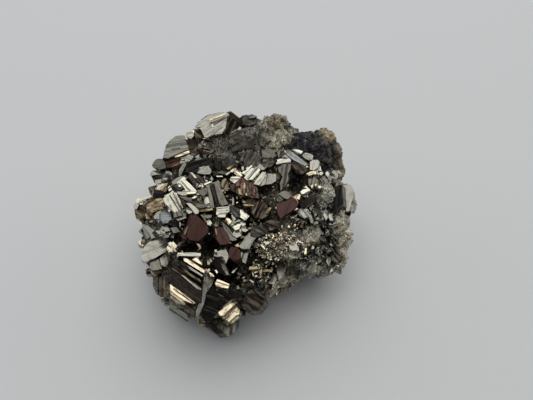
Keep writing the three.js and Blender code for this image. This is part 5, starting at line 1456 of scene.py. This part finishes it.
def grained_finish(name, clean, dirt, rust, dirt_amount, rust_amount, metal, relief):
    """A metallic finish with grit: clean, dirty and rusty colours, times each point's tone with its painted
    shade.
    """
    finish = bpy.data.materials.new(name)
    finish.use_nodes = True
    tree = finish.node_tree
    surface = tree.nodes["Principled BSDF"]
    given = {"Clean": (*clean, 1), "Dirt": (*dirt, 1), "Rust": (*rust, 1)}
    given.update({"Dirt amount": dirt_amount, "Rust amount": rust_amount})
    grit = put(tree, "ShaderNodeGroup", {"node_tree": GRIT}, **given)
    bump = put(tree, "ShaderNodeBump", Height=grit.outputs["Height"], Strength=relief, Distance=1.0)
    # The tone holds the spots' colours and the painted shade.
    tone = put(tree, "ShaderNodeAttribute", {"attribute_name": "tone"})
    shade = put(tree, "ShaderNodeMix", {"data_type": "RGBA", "blend_type": "MULTIPLY"})
    shade.inputs[0].default_value = 1
    tree.links.new(grit.outputs["Color"], shade.inputs[6])
    tree.links.new(tone.outputs["Color"], shade.inputs[7])
    tree.links.new(shade.outputs[2], surface.inputs["Base Color"])
    tree.links.new(grit.outputs["Roughness"], surface.inputs["Roughness"])
    tree.links.new(bump.outputs["Normal"], surface.inputs["Normal"])
    surface.inputs["Metallic"].default_value = metal
    return finish


mass_balls = [(np.array(mass["middle"]), mass["radii"]) for mass in MASSES]
mass_balls += lump_balls()
mass_skin = melted_mesh(mass_balls, MASS_MESH["facet"])
grown_rough(mass_skin, coarse=0.7, fine=0.3, crumple=MASS_MESH["crumple"])
cut_flat(mass_skin)
toned_with_painted_shade(mass_skin, TONES, (1.0, 0.97, 0.89), mass_balls)
mass_finish = grained_finish(
    "grained pyrite", (0.60, 0.585, 0.52), (0.07, 0.062, 0.052), (0.40, 0.31, 0.19), 0.33, 0.3, 0.62, 0.9
)
fine_mass = stone_piece("fine_grained_mass", mass_skin, [mass_finish])

# The black knob.
# A lump at the far right corner with a blue-black crust, rubbed through to tan at its rim.
# It grew out of the mass and is part of the same stone.
KNOB = [
    {"at": (21, 22), "radius": 8.3},
    {"at": (24.9, 25.4), "radius": 4.4},
    {"at": (27, 22.4), "radius": 4},
    {"at": (27.6, 17.2), "radius": 4.4},
    {"at": (25.8, 13.7), "radius": 3.6},
]
KNOB_TONES = [
    {"at": (22.5, 28.5), "radius": 2.4, "tone": (1.3, 1.28, 1.2)},
    {"at": (26, 27), "radius": 3.6, "tone": (1.7, 1.64, 1.55)},
    {"at": (28.8, 23), "radius": 2.6, "tone": (1.1, 1.14, 1.2)},
    {"at": (30.6, 18.5), "radius": 2.8, "tone": (1.2, 1.25, 1.3)},
    {"at": (29, 14), "radius": 3.4, "tone": (1.5, 1.44, 1.3)},
]
KNOB_SPECKS = {"count": 70, "smallest": 0.4, "largest": 1.1, "tone": (0.55, 0.52, 0.5), "seed": 9}
KNOB_MESH = {"facet": 0.42, "crumple": 0.08}

knob_balls = [sunk_ball(lump["at"], lump["radius"], 0.45) for lump in KNOB]
knob_skin = melted_mesh(knob_balls, KNOB_MESH["facet"])
grown_rough(knob_skin, coarse=0.5, fine=0.2, crumple=KNOB_MESH["crumple"])
knob_rng = random.Random(KNOB_SPECKS["seed"])
knob_specks = [
    {
        "at": (knob_rng.uniform(14, 31), knob_rng.uniform(10, 30)),
        "radius": knob_rng.uniform(KNOB_SPECKS["smallest"], KNOB_SPECKS["largest"]),
        "tone": KNOB_SPECKS["tone"],
    }
    for _ in range(KNOB_SPECKS["count"])
]
toned_with_painted_shade(knob_skin, knob_specks + KNOB_TONES, (0.11, 0.13, 0.22), knob_balls)
knob_finish = grained_finish(
    "black crust", (0.36, 0.3, 0.21), (0.1, 0.085, 0.07), (0.4, 0.31, 0.19), 0.3, 0.3, 0.45, 0.9
)
stone_piece("black_knob", knob_skin, [knob_finish])

# The grain crust.
# Tiny crystal grains, a third of a millimetre to a millimetre across, that stand out of the fine-grained
# mass and give it its sparkle. Each shows a few flat bright faces.
GRAINS = {"count": 9000, "smallest": 0.3, "largest": 0.95, "sunk": 0.33, "seed": 3}
WHERE_GRAINS = {"above": 0.8, "lightness": 0.8}
GRAIN_SKINS = {"bright": 0.2, "cream": 0.14, "grey": 0.26, "gold": 0.14, "steel": 0.14, "silver": 0.12}
BOX_FACES = [(3, 2, 1, 0), (4, 5, 6, 7), (0, 1, 5, 4), (1, 2, 6, 5), (2, 3, 7, 6), (3, 0, 4, 7)]
BOX_CORNERS = np.array([
    (-1, -1, -1), (1, -1, -1), (1, 1, -1), (-1, 1, -1), (-1, -1, 1), (1, -1, 1), (1, 1, 1), (-1, 1, 1)
])


def grain_crust(skin_mesh):
    """Small blocks set into the light places of a skin, each turned its own way."""
    rng = np.random.default_rng(GRAINS["seed"])
    triangles = skin_mesh.loop_triangles
    corners = np.empty(len(triangles) * 3, dtype=np.int32)
    areas = np.empty(len(triangles))
    normals = np.empty(len(triangles) * 3)
    triangles.foreach_get("vertices", corners)
    triangles.foreach_get("area", areas)
    triangles.foreach_get("normal", normals)
    places = np.empty(len(skin_mesh.vertices) * 3)
    skin_mesh.vertices.foreach_get("co", places)
    places = places.reshape(-1, 3)[corners.reshape(-1, 3)].mean(1) / MM - STONE_SHIFT
    normals = normals.reshape(-1, 3)
    areas = np.where(places[:, 2] < WHERE_GRAINS["above"], 0, areas)
    picked = rng.choice(len(areas), size=GRAINS["count"], p=areas / areas.sum())
    lightness = np.empty(len(skin_mesh.vertices) * 4)
    skin_mesh.attributes["tone"].data.foreach_get("color", lightness)
    keep = lightness.reshape(-1, 4)[corners.reshape(-1, 3)[picked, 0], 0] > WHERE_GRAINS["lightness"]
    centre, normal = places[picked][keep], normals[picked][keep]
    count = len(centre)
    size = GRAINS["smallest"] + (GRAINS["largest"] - GRAINS["smallest"]) * rng.random(count) ** 2
    shape = size[:, None] * rng.uniform(0.6, 1.1, (count, 3))
    turn, _ = np.linalg.qr(rng.normal(size=(count, 3, 3)))
    turn[:, :, 0] *= np.sign(np.linalg.det(turn))[:, None]
    local = BOX_CORNERS[None] * shape[:, None, :] / 2
    centre = centre - normal * (size * GRAINS["sunk"])[:, None]
    points = np.einsum("nij,nkj->nki", turn, local) + centre[:, None, :]
    mesh = bpy.data.meshes.new("grain_crust")
    faces = (np.arange(count)[:, None, None] * 8 + np.array(BOX_FACES)[None]).reshape(-1, 4)
    mesh.from_pydata(points.reshape(-1, 3).tolist(), [], faces.tolist())
    spots = np.zeros((count * 24, 3))
    spots[:, 2] = np.repeat(rng.uniform(0, 50, count), 24)
    place = mesh.attributes.new("crystal_place", "FLOAT_VECTOR", "CORNER")
    place.data.foreach_set("vector", spots.ravel())
    skins = rng.choice(len(SKINS), size=count, p=[GRAIN_SKINS.get(skin, 0) for skin in SKINS])
    mesh.polygons.foreach_set("material_index", np.repeat(skins, 6).astype(np.int32))
    mesh.update()
    return mesh


stone_piece("grain_crust", grain_crust(fine_mass.data), CRYSTAL_FINISHES_AND_PAINTED_LIGHT.values())

# The floor, the lights and the camera.
# A plain pale sheet under soft light from above and behind, seen from the front and above.
FLOOR = 3.0
PAPER = {"colour": (0.762, 0.77, 0.772, 1), "roughness": 0.9}
ROOM = {"colour": (0.80, 0.86, 0.92, 1), "strength": 0.19}
LENS = {"length": 35, "film": 36, "nearest": 0.01}

floor_mesh = bpy.data.meshes.new("floor")
floor_corners = [(-FLOOR, -FLOOR, 0), (FLOOR, -FLOOR, 0), (FLOOR, FLOOR, 0), (-FLOOR, FLOOR, 0)]
floor_mesh.from_pydata(floor_corners, [], [(0, 1, 2, 3)])
floor = bpy.data.objects.new("floor", floor_mesh)
bpy.context.scene.collection.objects.link(floor)
paper = bpy.data.materials.new("paper")
paper.use_nodes = True
paper_surface = paper.node_tree.nodes["Principled BSDF"]
paper_surface.inputs["Base Color"].default_value = PAPER["colour"]
paper_surface.inputs["Roughness"].default_value = PAPER["roughness"]
floor_mesh.materials.append(paper)


def soft_box(name, place, width, height, radiance, colour):
    """A rectangular light of even brightness that faces the stone."""
    light = bpy.data.lights.new(name, "AREA")
    light.shape = "RECTANGLE"
    light.size, light.size_y = width, height
    light.energy = radiance * width * height * math.pi
    light.color = colour
    lamp = bpy.data.objects.new(name, light)
    lamp.location = place
    lamp.rotation_euler = (Vector((0, 0, 0.02)) - Vector(place)).to_track_quat("-Z", "Y").to_euler()
    bpy.context.scene.collection.objects.link(lamp)


soft_box("overhead", (-0.04, 0.06, 0.62), 0.36, 0.36, 0.45, (1.0, 0.98, 0.92))
soft_box("ceiling", (0.0, 0.2, 0.95), 1.5, 1.5, 1.0, (1.0, 0.99, 0.97))
soft_box("back", (0.05, 1.0, 0.35), 1.7, 0.55, 0.5, (0.88, 0.95, 1.0))
soft_box("left", (-0.95, 0.1, 0.4), 1.0, 0.5, 0.5, (0.92, 0.96, 1.0))
soft_box("right", (0.95, 0.2, 0.42), 1.0, 0.55, 0.55, (1.0, 0.98, 0.94))

world = bpy.data.worlds.new("room")
world.use_nodes = True
world.node_tree.nodes["Background"].inputs["Color"].default_value = ROOM["colour"]
world.node_tree.nodes["Background"].inputs["Strength"].default_value = ROOM["strength"]
bpy.context.scene.world = world
bpy.context.scene.view_settings.view_transform = "Standard"

camera_lens = bpy.data.cameras.new("camera")
camera_lens.lens = LENS["length"]
camera_lens.sensor_width = LENS["film"]
camera_lens.clip_start = LENS["nearest"]
camera = bpy.data.objects.new("camera", camera_lens)
looking = Matrix((view_right, view_up, view_towards)).transposed().to_4x4()
camera.matrix_world = Matrix.Translation((view_eye + STONE_SHIFT) * MM) @ looking
bpy.context.scene.collection.objects.link(camera)
bpy.context.scene.camera = camera
